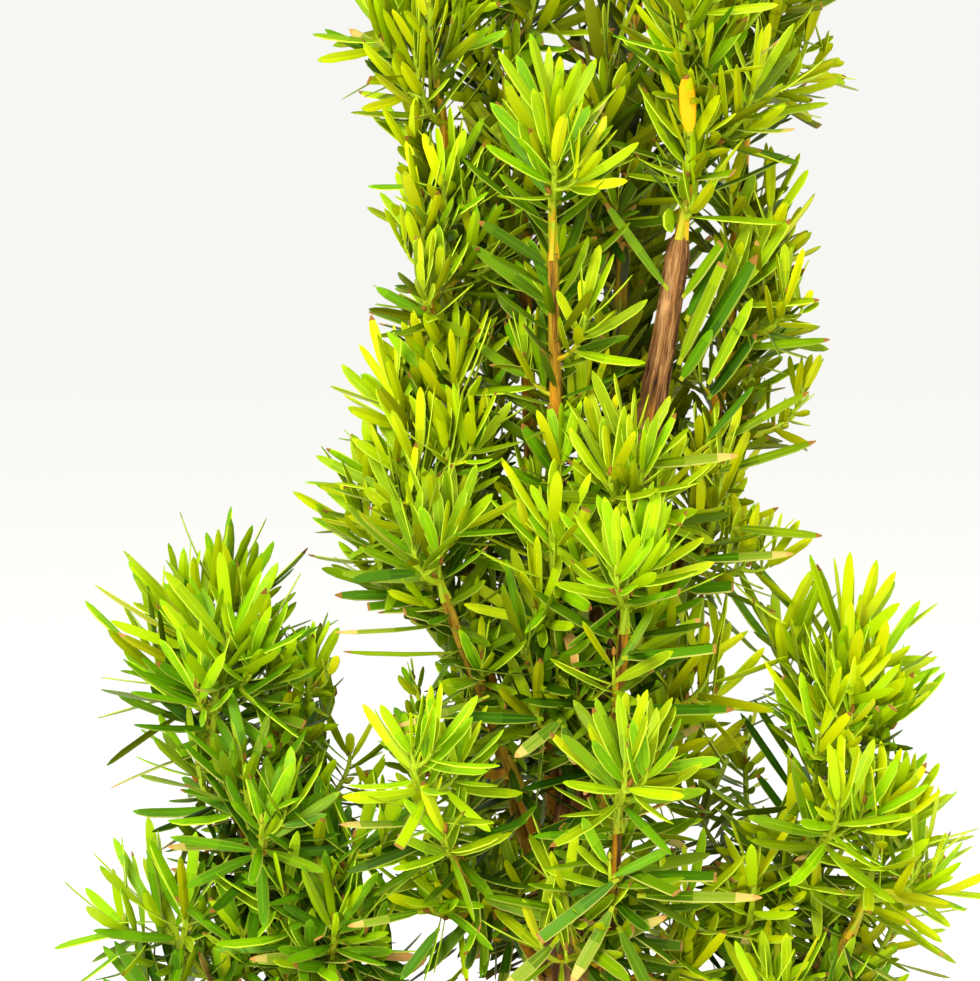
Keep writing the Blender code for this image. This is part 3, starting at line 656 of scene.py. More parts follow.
# %% How a needle changes below its tip
BELOW = (0.0, 0.002, 0.005, 0.010, 0.020, 0.040, 0.080, 0.140)  # metres below the tip
LEAN = (8, 27, 45, 59, 67, 73, 80, 88)  # degrees from the stem
REACH = (0.0185, 0.0210, 0.0232, 0.0245, 0.0250, 0.0255, 0.0255, 0.0250)
SPACING = (0.00080, 0.00088, 0.00100, 0.00112, 0.00124, 0.00140, 0.00160, 0.00180)
ORDER_SIZE = (0.92, 1.0, 0.90, 0.78)  # of needles on a limb, a stem, a twig, a fine twig
BARE = (0.25, 0.10, 0.16, 0.20)  # share of each that carries no needles
NEEDLE_SIZE = {  # where needles are shorter, or near the tip longer, than elsewhere
    "tip_left": 1.25, "spray_left_low": 1.14, "tip_right": 1.15, "tip_right_outer": 1.05,
    "spray_left_inside": 0.68, "spray_inner_left": 0.62, "spray_left_outer": 0.95,
    "spray_right_back": 0.56, "spray_right_high": 0.58, "spray_right_top": 0.74,
    "spray_right_middle": 0.86, "tip_leader_right": 0.80, "spray_left_top": 0.76,
    "spray_back_left": 0.86, "spray_left_foot": 0.86, "leader_left": 0.90, "leader_right": 0.80,
    "bough_inner_left": 0.80, "tip_leader_left": 0.95, "spray_foot_left": 0.90,
    "spray_trunk_low": 1.12, "spray_right_inside": 0.85, "spray_left_back": 0.85,
    "spray_back_low": 0.85, "spray_right_low": 0.88,
}
COOLNESS = {  # how much greener the needles of a limb are than yellow-green, from -1 to 1
    "trunk": -0.5, "leader_front": 0.0, "leader_back_left": -0.3, "leader_back": -0.6,
    "leader_left": -0.1, "leader_right": -0.9, "bough_inner_left": 0.1, "bough_front_middle": 0.3,
    "bough_front_low": -0.3, "bough_front_left": 0.5, "bough_left": 0.9, "bough_right": 0.3,
    "bough_right_outer": 0.0, "bough_back": 0.2,
}
LIGHTER = {  # steps up or down the scale of greens, for the needles of one shoot or limb
    "tip_leader_front": -0.6, "spray_left_top": 0.6, "spray_left_high": 0.5, "leader_left": 0.6,
    "leader_front": 1.4, "spray_left_middle": -1.0, "spray_left_outer": -0.8,
    "tip_inner_left": -1.6, "spray_right_middle": 1.6, "tip_left": -1.4, "bough_inner_left": 1.0,
    "bough_front_middle": 0.5, "spray_trunk_low": 0.5, "tip_front_low": -1.0, "tip_right": -0.5,
    "spray_right_front": 0.4, "tip_right_outer": 0.3, "spray_left_front": -1.6, "bough_left": -1.4,
    "spray_left_low": -2.0, "bough_front_low": 1.1, "bough_front_left": 1.4, "spray_foot_left": 2.2,
    "spray_foot_right": 2.0, "bough_right": 2.6, "spray_right_inside": 2.4, "spray_right_low": -0.3,
    "crown_of_trunk": 0.3, "tip_leader_right": 0.6, "leader_right": 0.6, "spray_front_foot": 0.6,
    "spray_left_right": -0.3, "spray_left_foot": -0.3,
}
MAIN_COLUMN = (0.004, -0.002)  # x and y of the middle of each column of foliage
COLUMNS = {
    "bough_left": (-0.084, -0.005), "bough_right": (0.062, -0.018),
    "bough_right_outer": (0.066, -0.022),
}
limb_of = {shoot.name: shoot.limb for shoot in SHOOTS} | {limb.name: limb.name for limb in LIMBS}

# %% What is known of one needle
class Needle(NamedTuple):
    owner: str
    base: Vector
    way: Vector
    face: Vector
    length: float
    half_width: float
    curl: float  # how far it bends on its way, as a share of its length
    sway: float
    twist: float
    tone: float  # place on the scale of greens
    hue: str
    pale: float  # how pale its margin is, from 0 to 1
    kind: str


def light_at(owner, point):
    """The way from the middle of the column of foliage outwards."""
    x, y = COLUMNS.get(limb_of[owner], MAIN_COLUMN)
    out = Vector((point.x - x, point.y - y, 0.0))
    return out.normalized() if out.length > 1e-4 else Vector((0.0, -1.0, 0.0))

# %% Gaps in the crown, and wood that stays in sight
HALF_WIDTH = 0.00158
CLIPPED_SHARE = 0.86  # how much of a clipped needle's length is left
STEPS = (0.3, 0.45, 0.6, 0.75, 0.9, 1.0)  # where along a needle its way is tested
FRONT_EYE = Vector((-0.0221, -0.9514, 0.4007))  # where the plant is looked at from
BARE_VIEWS = (  # left, right, low, high of bare wood in mm, as seen from there at y = 0; its own y
    (-8.8, 2.4, 188.0, 200.0, -6), (7.8, 13.0, 264.0, 289.0, -36), (7.8, 14.0, 212.0, 241.0, -49),
    (-8.8, -3.4, 374.0, 396.0, -24), (-36.8, -31.2, 285.0, 300.0, -16),
)
GAPS = (  # middle and half size of each gap, across and up in mm, as seen from there at y = 0
    (-50.2, 272.2, 14.6, 12.5), (-58.5, 251.4, 5.7, 14.3), (41.6, 265.7, 5.7, 11.7),
    (49.7, 243.6, 6.2, 12.5), (-38.2, 202.0, 10.9, 5.2), (35.6, 193.9, 6.8, 3.1),
    (-51.2, 378.8, 8.8, 8.8), (-54.3, 402.2, 7.8, 7.8), (-63.7, 441.4, 8.8, 6.8),
    (67.6, 433.4, 9.4, 8.8), (64.2, 368.4, 7.3, 7.8), (58.5, 338.0, 11.0, 7.8),
    (54.6, 320.8, 13.5, 7.8), (-61.1, 289.0, 12.0, 5.2), (52.0, 296.3, 8.8, 5.2),
    (96.2, 254.0, 10.4, 7.3),
)
NEEDLE_ROOM, WOOD_ROOM = 0.0015, 0.0020  # nearer than this, a needle touches
WOOD_CLASH, GAP_CLASH = 6, 4  # how much worse than touching one needle these are
TRIES = 6
LEAN_HEIGHTS, LEAN_SHARES = (0.22, 0.28, 0.36), (1.25, 1.04, 0.78)  # high needles lean less
needle_room = Room(0.0018)
needles = []

# %% A free way for a needle
def free_way(index, growth, draw, place, turn, below, reach):
    """The way, of a few tries, in which a needle of that reach touches the least."""
    length = length_of(growth.line)
    centre, direction = along(growth.line, place / length)
    across, over = square_to(direction)
    radius = growth.foot_radius + (growth.tip_radius - growth.foot_radius) * place / length
    lean_here = np.interp(below, BELOW, LEAN) * np.interp(centre.z, LEAN_HEIGHTS, LEAN_SHARES)
    best = None
    for attempt in range(TRIES):
        around = turn + draw.uniform(-0.3, 0.3) * (1 + 0.5 * attempt)
        lean = math.radians(lean_here + draw.uniform(-10, 10) * (1 + 0.4 * attempt))
        side = across * math.cos(around) + over * math.sin(around)
        base = centre + side * radius * 0.7
        way = direction * math.cos(lean) + side * math.sin(lean)
        clash = 0
        for step in STEPS:
            point = base + way * reach * step
            clash += needle_room.near(point, NEEDLE_ROOM)
            clash += WOOD_CLASH * wood.near(point, WOOD_ROOM, index if step < 0.5 else None)
            clash += GAP_CLASH * in_gap(point)
        if best is None or clash < best[0]:
            best = (clash, centre, base, way, direction)
        if clash == 0:
            break
    return best[1:]

# %% What a needle must not cover
def seen_from_front(point):
    """Across and up in mm, where the way from the front eye to a point meets y = 0."""
    seen = FRONT_EYE + (point - FRONT_EYE) * FRONT_EYE.y / (FRONT_EYE.y - point.y)
    return seen.x * 1000, seen.z * 1000


def in_gap(point):
    """Whether a point is seen in one of the gaps of the crown."""
    across, up = seen_from_front(point)
    return any(((across - x) / wide) ** 2 + ((up - z) / high) ** 2 < 1 for x, z, wide, high in GAPS)


def hides_wood(base, way, reach):
    """Whether a needle stands in front of wood that stays in sight."""
    for step in STEPS:
        point = base + way * reach * step
        across, up = seen_from_front(point)
        for left, right, low, high, front in BARE_VIEWS:
            if left < across < right and low < up < high and point.y * 1000 < front:
                return True
    return False

# %% The needles of one growth
def kind_of(draw, below, centre):
    """Most needles are whole. Old ones have brown tips, clipped ends, or have dried."""
    chance = draw.random()
    if below < 0.014:
        return "brown_tip" if chance < 0.06 else "whole"
    low = float(np.interp(centre.z, (0.25, 0.34), (1.0, 0.35)))
    if chance < 0.08 * low:
        return "clipped"
    if chance < 0.10 * low:
        return "dry"
    if chance < 0.17 * low:
        return "fading"
    return "brown_tip" if chance < 0.27 else "whole"


def needles_on(index, growth):
    draw = random.Random(f"{growth.owner} {index} needles")
    length = length_of(growth.line)
    shift = draw.uniform(-0.6, 0.6)
    place = length * BARE[growth.order]
    turn = draw.uniform(0, math.tau)
    cool = COOLNESS[limb_of[growth.owner]] + draw.gauss(0, 0.35)
    while place < length:
        below = length - place + (0.030 if growth.order == 0 else 0.0)
        size = NEEDLE_SIZE.get(growth.owner, 1.0)
        size = np.interp(below, (0.008, 0.020), (size, min(size, 1.0)))
        reach = np.interp(below, BELOW, REACH) * ORDER_SIZE[growth.order] * size
        reach *= draw.uniform(0.50, 0.75) if draw.random() < 0.14 else draw.uniform(0.82, 1.10)
        centre, base, way, direction = free_way(index, growth, draw, place, turn, below, reach)
        short_of_gap = in_gap(base + way * reach * 0.75)
        reach *= 0.5 if short_of_gap else 1.0
        kind = kind_of(draw, below, centre)
        face = direction * 0.8 + light_at(growth.owner, centre) * draw.uniform(0.1, 1.0) + UP * 0.3
        face += Vector([draw.gauss(0, 0.40) for _ in range(3)])
        face = (face - way * face.dot(way)).normalized()
        curl = draw.gauss(0.13, 0.10) if below < 0.020 else draw.gauss(0.04, 0.15)
        for step in STEPS:
            needle_room.claim(base + way * reach * step, len(needles))
        tip_tone = 5.8 + 4.0 * growth.fresh
        old_tone = 1.7 + 2.2 * growth.fresh
        fade = 0.013 + 0.012 * growth.fresh
        tone = old_tone + (tip_tone - old_tone) * math.exp(-((below / fade) ** 1.3))
        tone += 0.25 + shift + draw.gauss(0, 1.0) + LIGHTER.get(growth.owner, 0.0)
        hue = list(HUES)[int(min(max(round(cool + draw.gauss(0, 0.65)), -1), 1)) + 1]
        half_width = HALF_WIDTH * draw.uniform(0.86, 1.10) * (0.72 + 0.28 * reach / 0.025)
        sway, twist, pale = draw.uniform(-0.10, 0.10), draw.uniform(-0.6, 0.6), draw.random()
        length_here = reach * (CLIPPED_SHARE if kind == "clipped" else 1.0)
        ends_in_gap = short_of_gap and in_gap(base + way * reach) and not in_gap(base)
        if not (ends_in_gap or hides_wood(base, way, reach)):
            size = (length_here, half_width, curl, sway, twist)
            needles.append(Needle(growth.owner, base, way, face, *size, tone, hue, pale, kind))
        turn += GOLDEN_ANGLE
        spacing = np.interp(length - place, BELOW, SPACING)
        place += spacing * draw.uniform(0.85, 1.15) * (1.05 if growth.order == 0 else 1.0)


for index, growth in enumerate(growths):
    needles_on(index, growth)
print(len(needles), "needles")

# %% [markdown]
# Some needles catch the eye on this plant, and the rule wouldn't put them there: the long ones
# that rise beside the top of the trunk or reach out of the crown, the level and hanging ones low
# in the middle, the green bract that curls at the trunk's top, and one needle that has turned
# amber. The table gives each one its foot and its end.

# %% Needles that stand out
STANDING_OUT = (  # limb or shoot, foot and end in mm, half width in mm, curl, tone, hue, kind
    ("crown_of_trunk", (24.5, -12.5, 385), (21.0, -14.5, 389), 2.3, 0.9, 7.5, "plain", "whole"),
    ("crown_of_trunk", (27.5, -12.5, 393), (26.2, -16.0, 399), 1.8, 0.5, 8.5, "plain", "whole"),
    ("crown_of_trunk", (28.0, -26.0, 409), (26.4, -31.0, 424), 2.1, 0.02, 8.0, "warm", "amber"),
    ("leader_right", (27.0, -13.0, 368), (36.5, -19.0, 382), 1.6, 0.05, 6.2, "plain", "clipped"),
    ("leader_right", (28.0, -11.0, 362), (38.0, -15.0, 382), 1.9, 0.05, 4.4, "cool", "whole"),
    ("leader_right", (26.0, -14.0, 351), (36.6, -19.0, 377), 1.7, 0.04, 6.4, "warm", "clipped"),
    ("leader_right", (27.6, -12.0, 349), (45.8, -16.0, 379), 2.5, 0.05, 3.8, "cool", "brown_tip"),
    ("leader_right", (35.5, -8.0, 364), (43.8, -10.0, 387), 1.7, 0.03, 6.8, "warm", "whole"),
    ("leader_right", (41.5, -6.0, 371), (44.0, -8.0, 389), 1.6, 0.04, 7.6, "plain", "whole"),
    ("leader_right", (42.5, -6.0, 372), (50.0, -9.0, 389), 1.6, 0.03, 7.0, "warm", "whole"),
    ("leader_right", (43.0, -8.0, 371), (54.5, -11.0, 388), 1.5, 0.05, 8.0, "plain", "brown_tip"),
    ("leader_right", (43.0, -6.0, 370), (56.0, -9.0, 381), 1.7, 0.04, 6.6, "plain", "whole"),
    ("leader_right", (42.0, -9.0, 366), (62.0, -13.0, 367), 1.5, 0.05, 6.8, "warm", "brown_tip"),
    ("leader_right", (43.0, -8.0, 355), (64.8, -12.0, 357), 1.5, 0.04, 6.2, "plain", "brown_tip"),
    ("leader_right", (38.3, -12.0, 331.7), (58.6, -14.0, 345.0), 1.5, -0.06, 5.8, "warm", "brown_tip"),
    ("leader_right", (33.0, -13.0, 331.0), (45.0, -15.0, 345.5), 1.2, 0.03, 4.0, "cool", "whole"),
    ("leader_right", (34.8, -12.0, 323.0), (61.4, -14.0, 330.8), 1.6, 0.06, 5.0, "warm", "brown_tip"),
    ("leader_right", (40.2, -12.0, 309.0), (63.0, -14.0, 307.0), 1.6, 0.03, 5.8, "warm", "brown_tip"),
    ("leader_right", (30.2, -14.0, 301.0), (55.4, -16.0, 302.4), 1.6, 0.04, 5.0, "cool", "fading"),
    ("leader_right", (16.0, -30.0, 326.5), (40.0, -32.0, 329.0), 1.8, 0.03, 5.6, "warm", "fading"),
    ("leader_right", (21.0, -31.0, 318.0), (34.2, -34.0, 326.8), 1.1, 0.14, 7.4, "warm", "whole"),
    ("bough_front_middle", (28.0, -20.0, 294.0), (39.8, -22.0, 295.0), 2.2, 0.02, 4.0, "cool", "clipped"),
    ("bough_right", (58.5, -4.0, 237.0), (43.0, -6.0, 260.0), 1.1, -0.05, 3.0, "cool", "whole"),
    ("bough_right", (59.5, -2.0, 243.6), (45.8, -5.0, 263.0), 1.1, 0.04, 3.8, "plain", "whole"),
    ("bough_right", (58.0, -6.0, 229.5), (47.0, -8.0, 244.5), 1.2, -0.04, 2.8, "cool", "brown_tip"),
    ("bough_front_left", (-35.0, -40.0, 210.5), (-44.0, -46.0, 198.5), 1.4, 0.04, 4.0, "cool", "whole"),
    ("bough_front_left", (-39.0, -40.0, 215.0), (-57.5, -44.0, 211.0), 1.2, 0.05, 5.0, "plain", "fading"),
    ("tip_right", (60.0, -3.0, 283.0), (44.6, -5.0, 300.5), 1.2, -0.03, 5.0, "plain", "whole"),
    ("leader_right", (26.4, -15.0, 347), (34.5, -18.0, 360), 1.8, 0.08, 5.2, "cool", "whole"),
    ("leader_right", (33.5, -14.0, 346), (44.5, -17.0, 368), 1.7, 0.05, 7.2, "plain", "whole"),
    ("leader_right", (33.8, -11.0, 342), (45.8, -13.0, 359), 1.8, 0.03, 2.8, "cool", "brown_tip"),
    ("crown_of_trunk", (23.2, -15.0, 370), (6.8, -21.0, 392), 1.4, -0.02, 5.6, "plain", "brown_tip"),
    ("bough_front_middle", (-8.8, -42.0, 264), (-31.7, -47.0, 264.5), 1.7, 0.05, 3.0, "cool", "whole"),
    ("bough_front_middle", (8.3, -44.0, 266.5), (38.7, -46.0, 267), 1.9, 0.02, 3.2, "cool", "brown_tip"),
    ("bough_front_middle", (10.6, -44.0, 279.5), (34.0, -47.0, 282), 1.8, 0.05, 4.6, "cool", "clipped"),
    ("bough_front_middle", (-4.4, -44.0, 264), (-15.6, -49.0, 255), 1.7, 0.04, 4.0, "plain", "fading"),
    ("bough_front_middle", (-3.9, -45.0, 262.8), (-0.8, -50.0, 253.7), 1.6, 0.06, 3.8, "plain", "fading"),
    ("bough_front_middle", (12.0, -46.0, 260.0), (22.0, -50.0, 252.0), 1.9, 0.25, 5.0, "warm", "dry"),
    ("bough_front_low", (14.3, -53.0, 221.5), (45.0, -56.0, 221.5), 1.8, 0.03, 5.0, "plain", "fading"),
    ("bough_front_low", (9.6, -54.0, 226.0), (-9.9, -59.0, 211.6), 1.7, -0.02, 4.6, "cool", "clipped"),
    ("bough_front_low", (8.3, -54.0, 218.9), (-1.6, -60.0, 200.7), 1.7, 0.03, 5.2, "plain", "fading"),
    ("bough_front_low", (9.6, -54.0, 213.9), (20.5, -59.0, 192.1), 1.7, 0.08, 4.0, "plain", "whole"),
    ("bough_front_low", (14.3, -50.0, 226.1), (34.0, -52.0, 226.1), 1.8, 0.02, 4.2, "cool", "clipped"),
    ("bough_front_left", (-6.2, -52.0, 209.2), (-18.5, -57.0, 198.1), 1.8, 0.05, 5.0, "warm", "fading"),
    ("bough_front_low", (-4.0, -15.0, 199.0), (5.5, -19.0, 192.5), 2.0, -0.15, 6.0, "warm", "dry"),
    ("bough_front_low", (-9.5, -14.0, 198.0), (-15.5, -17.0, 190.5), 1.8, -0.10, 6.0, "warm", "dry"),
    ("bough_inner_left", (-34.0, -28.0, 286.0), (-61.0, -30.0, 282.0), 0.7, 0.10, 5.6, "warm", "fading"),
    ("bough_inner_left", (-30.5, -28.0, 279.0), (-59.0, -30.0, 276.6), 0.7, 0.12, 6.2, "warm", "brown_tip"),
    ("bough_inner_left", (-22.3, -40.0, 269.5), (-45.0, -44.0, 260.5), 1.0, 0.10, 5.6, "warm", "fading"),
    ("bough_inner_left", (-36.0, -20.0, 293.0), (-61.5, -22.0, 291.8), 1.6, 0.03, 3.8, "cool", "brown_tip"),
    ("bough_inner_left", (-36.0, -22.0, 292.0), (-53.0, -26.0, 289.5), 1.3, 0.04, 4.6, "cool", "clipped"),
)
FRONT_LIGHT = Vector((0.0, -0.8, 0.7))
for owner, foot, end, half, curl, tone, hue, kind in STANDING_OUT:
    foot, end = Vector(foot) / 1000, Vector(end) / 1000
    way = (end - foot).normalized()
    face = FRONT_LIGHT - way * way.dot(FRONT_LIGHT)
    size = (foot, way, face.normalized(), (end - foot).length, half / 1000)
    needles.append(Needle(owner, *size, curl, 0.02, 0.2, tone, hue, 0.9, kind))
print(len(STANDING_OUT), "needles set one by one,", len(needles), "in all")

# %% [markdown]
# All copies are placed at once with arrays: each point of the template is carried along its
# needle's own curve, and set across and above it in a frame that turns with the twist.

# %% Join the needles of one part of the plant
DIRECTIONS, SIZES = ("base", "way", "face"), ("length", "half_width", "curl", "sway", "twist")
SHARP = 38  # degrees between two faces, from which on their edge stays sharp


def curved_copies(chosen):
    """Points of every copy, as one array: needles by points by coordinates."""
    def column(values):
        return np.array([tuple(value) for value in values])[:, None, :]

    base, way, face = (column([getattr(n, name) for n in chosen]) for name in DIRECTIONS)
    size, half, curl, sway, twist = (
        np.array([getattr(n, name) for n in chosen])[:, None, None]
        for name in SIZES
    )
    shape = needle_shapes[[1 if needle.kind == "clipped" else 0 for needle in chosen]]
    across, share, up = (shape[:, :, i, None] for i in range(3))
    side = np.cross(way, face)
    bend = column([UP for _ in chosen]) * 0.5 + face * 0.3
    bend = bend - way * (bend * way).sum(2, keepdims=True)
    middle = base + size * (way * share + bend * curl * share**2 + side * sway * share**2)
    tangent = way + bend * curl * 2 * share + side * sway * 2 * share
    tangent /= np.linalg.norm(tangent, axis=2, keepdims=True)
    angle = twist * share
    wide = side * np.cos(angle) + face * np.sin(angle)
    wide = wide - tangent * (wide * tangent).sum(2, keepdims=True)
    wide /= np.linalg.norm(wide, axis=2, keepdims=True)
    high = np.cross(wide, tangent)
    return middle + wide * across * half + high * up * half

# %% Which colours a needle takes
def slots_of(needle):
    """Which plain colour each role of a needle takes."""
    def step(family, value):
        return FIRST[family] + int(min(max(round(value), 0), len(scales[family]) - 1))

    tone = needle.tone
    light = tone / (len(GREEN_VALUES) - 1) * (len(UNDER_VALUES) - 1) + (0.7 if tone > 6 else 0.0)
    green, under = f"green_{needle.hue}", f"under_{needle.hue}"
    # The edge and the rib take lighter steps than the blade: partly the needle's own paler margin and rib,
    # partly a painted sheen, palest on the brightest needles.
    margin = 3 if tone > 6.5 else 1.4 * needle.pale**2 if tone < 4.5 else 0.4 + 1.2 * needle.pale
    slots = {
        # The blade steps down at its foot (inner) and up towards its end and point: painted shade at the
        # foot, lifting towards the point.
        "stalk": FIRST["stalk"] if tone > 4 else step(under, 3), "inner": step(green, tone - 0.5),
        "outer": step(green, tone), "end": step(green, tone + 0.3), "edge": step("margin", margin),
        "rib": step(green, tone + 0.8),
        # The two halves of the underside are 0.7 steps apart: painted shading across the midrib.
        "under_left": step(under, light - 0.1), "under_right": step(under, light + 0.6),
        "point": step(green, tone + 0.7),
    }
    if needle.kind == "brown_tip":
        slots["point"] = FIRST["brown_tip"]
    if needle.kind == "clipped":
        slots["point"] = FIRST["clipped_end"]
        slots["edge"] = step("margin", 2)
    if needle.kind == "fading":
        slots.update(outer=step("margin", 1), end=FIRST["straw"])
        slots.update(edge=step("margin", 2), point=FIRST["pale_rust"])
    if needle.kind in ("dry", "amber"):
        blade, edge = ("pale_rust", "straw") if needle.kind == "dry" else ("amber", "amber")
        slots.update(outer=FIRST[blade], end=FIRST[blade], edge=FIRST[edge], rib=FIRST[edge])
        slots["point"] = FIRST["brown_tip"]
        slots.update(under_left=FIRST[edge], under_right=FIRST[blade])
    if needle.kind == "amber":
        slots["inner"] = FIRST["amber"]
    return [slots[role] for role in ROLES]

# %% Meshes and the pieces of the plant
def object_of(name, mesh, finishes, slots=None, sharp=SHARP):
    """The mesh as an object in the scene, smooth but for its sharp edges."""
    for finish in finishes:
        mesh.materials.append(finish)
    if slots is not None:
        mesh.polygons.foreach_set("material_index", np.asarray(slots, np.int32))
    mesh.shade_smooth()
    mesh.set_sharp_from_angle(angle=math.radians(sharp))
    piece = bpy.data.objects.new(name, mesh)
    bpy.context.scene.collection.objects.link(piece)
    return piece


def mesh_of(name, points, faces, finishes, slots=None, sharp=SHARP):
    mesh = bpy.data.meshes.new(name)
    mesh.from_pydata(np.asarray(points).tolist(), [], faces)
    return object_of(name, mesh, finishes, slots, sharp)


def join_needles(name, chosen):
    points = curved_copies(chosen)
    firsts = range(0, len(chosen) * points.shape[1], points.shape[1])
    faces = [[corner + first for corner in face] for first in firsts for face in needle_faces]
    role = [ROLES.index(r) for r in needle_roles]
    slots = np.array([slots_of(needle) for needle in chosen])[:, role].reshape(-1)
    triangles = sum(len(face) - 2 for face in needle_faces) * len(chosen)
    print(name, len(chosen), "needles,", triangles, "triangles")
    return mesh_of(name, points.reshape(-1, 3), faces, needle_finishes, slots)


MIDDLE_BOUGHS = ("bough_inner_left", "bough_front_middle", "bough_front_low", "bough_front_left")
PARTS = {
    "needles_front": ("trunk", "leader_front"),
    "needles_crown_back": ("leader_back", "leader_back_left"),
    "needles_crown_left": ("leader_left",),
    "needles_crown_right": ("leader_right",),
    "needles_middle": MIDDLE_BOUGHS,
    "needles_left": ("bough_left",),
    "needles_right": ("bough_right", "bough_right_outer"),
    "needles_back": ("bough_back",),
}
for name, limbs in PARTS.items():
    piece = join_needles(name, [needle for needle in needles if limb_of[needle.owner] in limbs])
    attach(piece, "root")
    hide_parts(*[shoot.name for shoot in SHOOTS if shoot.limb in limbs])

# %% [markdown]
# ## Wood: one tube for every stem
# The trunk, the limbs and the twigs are all tubes, only with other numbers of sides. A straight
# tube is made once for each kind, from a cone with even ends whose long edges are subdivided. Its
# points are then carried along a line and pushed in or out. That keeps every tube closed, and it
# leaves both coordinates at hand, round the stem and along it, for ridges, furrows and colour.

# %% A straight tube, and how it is carried along a line
def straight_tube(sides, rings):
    """Turn and share of the length for each point, and the faces' corners."""
    shape = bmesh.new()
    bmesh.ops.create_cone(shape, cap_ends=True, segments=sides, radius1=1.0, radius2=1.0, depth=1.0)
    rises = {edge: abs(edge.verts[0].co.z - edge.verts[1].co.z) for edge in shape.edges}
    long_edges = [edge for edge, rise in rises.items() if rise > 0.5]
    bmesh.ops.subdivide_edges(shape, edges=long_edges, cuts=rings - 2, use_grid_fill=True)
    bmesh.ops.recalc_face_normals(shape, faces=shape.faces)
    shape.verts.index_update()
    turn = np.array([math.atan2(vert.co.y, vert.co.x) for vert in shape.verts])
    share = np.array([vert.co.z + 0.5 for vert in shape.verts])
    faces = [[vert.index for vert in face.verts] for face in shape.faces]
    shape.free()
    return turn, share, faces


def frames_along(line):
    """Points, and two directions across the line, turned as little as possible on the way."""
    across = square_to(tangent_at(line, 0))[0]
    rows = []
    for index, centre in enumerate(line):
        direction = tangent_at(line, index)
        across = (across - direction * across.dot(direction)).normalized()
        rows.append((centre, across, direction.cross(across)))
    return [np.array([tuple(row[i]) for row in rows]) for i in range(3)]


def carried(turn, share, line, radius):
    """The points of a straight tube, carried along the line at these radii."""
    place = np.clip(share, 0, 1) * (len(line) - 1)
    low = np.minimum(place.astype(int), len(line) - 2)
    part = (place - low)[:, None]
    rows = frames_along(line)
    centre, across, over = (row[low] * (1 - part) + row[low + 1] * part for row in rows)
    side = across * np.cos(turn)[:, None] + over * np.sin(turn)[:, None]
    return centre + radius[:, None] * side


def joined(parts):
    """Several (points, faces) as one."""
    points, faces, count = [], [], 0
    for some, corners in parts:
        points.append(some)
        faces += [[corner + count for corner in face] for face in corners]
        count += len(some)
    return np.concatenate(points), faces

# %% [markdown]
# ## Twigs
# A young yew twig isn't round. Every needle's foot runs down it as a ridge, so it is fluted, and
# green like the needles. In its second year it turns amber, and later brown and scaly. The tubes
# have ten sides, where every other one is a groove, and they twist slowly as they rise.

# %% The twigs
TWIG_TONES = {
    "twig_lime": (160, 184, 20), "twig_green": (176, 172, 18), "twig_gold": (206, 166, 14),
    "twig_amber": (200, 140, 12), "twig_rust": (176, 120, 24), "twig_brown": (130, 90, 32),
}
twig_finishes = [plain_finish(name, tone, 0.55, 0.25) for name, tone in TWIG_TONES.items()]
GROOVE = 0.70  # radius of a groove, as a share of a ridge's
TWIST = 2.2  # turn of the ridges from foot to tip, in radians
SUNK = 0.0016  # how far a foot is carried on into the wood that bears it
FRESH_LENGTH = 0.016  # how far below its tip the wood of a wholly fresh shoot is still green
FLUTED_SIDES = 10


def twig_tube(growth, template, draw):
    turn, share, faces = template
    line = growth.line
    if growth.order == 1:
        line = [line[0] - tangent_at(line, 0) * SUNK, *line]
    radius = growth.foot_radius + (growth.tip_radius - growth.foot_radius) * share
    radius = radius * (1 + 0.45 * np.exp(-share * 14)) * np.where(share > 0.999, 0.35, 1.0)
    sides = len(set(np.round(turn, 4)))
    if sides >= FLUTED_SIDES:
        groove = np.round((turn + math.pi) / math.tau * sides).astype(int) % 2 == 1
        radius = np.where(groove, radius * GROOVE, radius)
    points = carried(turn + TWIST * share, share, line, radius)
    length = length_of(line)
    slots = []
    for face in faces:
        below = length * (1 - np.mean(share[face])) - FRESH_LENGTH * growth.fresh
        age = below / max(0.010, length / 4.2) + draw.gauss(0, 0.6)
        age += 0.5 if growth.fresh < 0.5 else 0.0
        age -= 1.6 if growth.owner == "crown_of_trunk" else 0.0
        slots.append(int(min(max(age, 0), len(TWIG_TONES) - 1)))
    return points, faces, slots


FLUTED, THIN = straight_tube(FLUTED_SIDES, 22), straight_tube(6, 7)
draw = random.Random("twigs")
grown = [twig_tube(g, THIN if g.order == 3 else FLUTED, draw) for g in growths if g.order > 0]
points, faces = joined([(points, faces) for points, faces, _ in grown])
slots = [slot for _, _, some in grown for slot in some]
twigs = mesh_of("twigs", points, faces, twig_finishes, slots)
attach(twigs, "root")
print("twigs:", sum(len(face) - 2 for face in faces), "triangles")

# %% [markdown]
# ## Buds
# Small brown buds sit where a twig leaves its stem, and one closes the tip of each older shoot.
# A bud is a sphere drawn out to a point and pinched into scales, repeated a few hundred times.

# %% The buds
BUD_TONES = {"bud_brown": (150, 104, 36), "bud_green": (158, 164, 34)}


def bud_template():
    shape = bmesh.new()
    bmesh.ops.create_uvsphere(shape, u_segments=6, v_segments=5, radius=1.0)
    shape.verts.index_update()
    for vert in shape.verts:
        taper = 1.0 - 0.45 * max(vert.co.z, 0.0)
        scale = 0.5 * taper * (1.12 if vert.index % 2 else 0.92)
        vert.co = Vector((vert.co.x * scale, vert.co.y * scale, vert.co.z))
    points = np.array([vert.co for vert in shape.verts])
    faces = [[vert.index for vert in face.verts] for face in shape.faces]
    shape.free()
    return points, faces


def bud_at(point, direction, length, turn):
    across, over = (np.array(way) for way in square_to(direction.normalized()))
    side = across * math.cos(turn) + over * math.sin(turn)
    ahead = np.array(direction.normalized())
    other = np.cross(ahead, side)
    half = length / 2
    x, y, z = (column[:, None] for column in (bud_points * half).T)
    return np.array(point) + x * side + y * other + (z + half * 0.6) * ahead


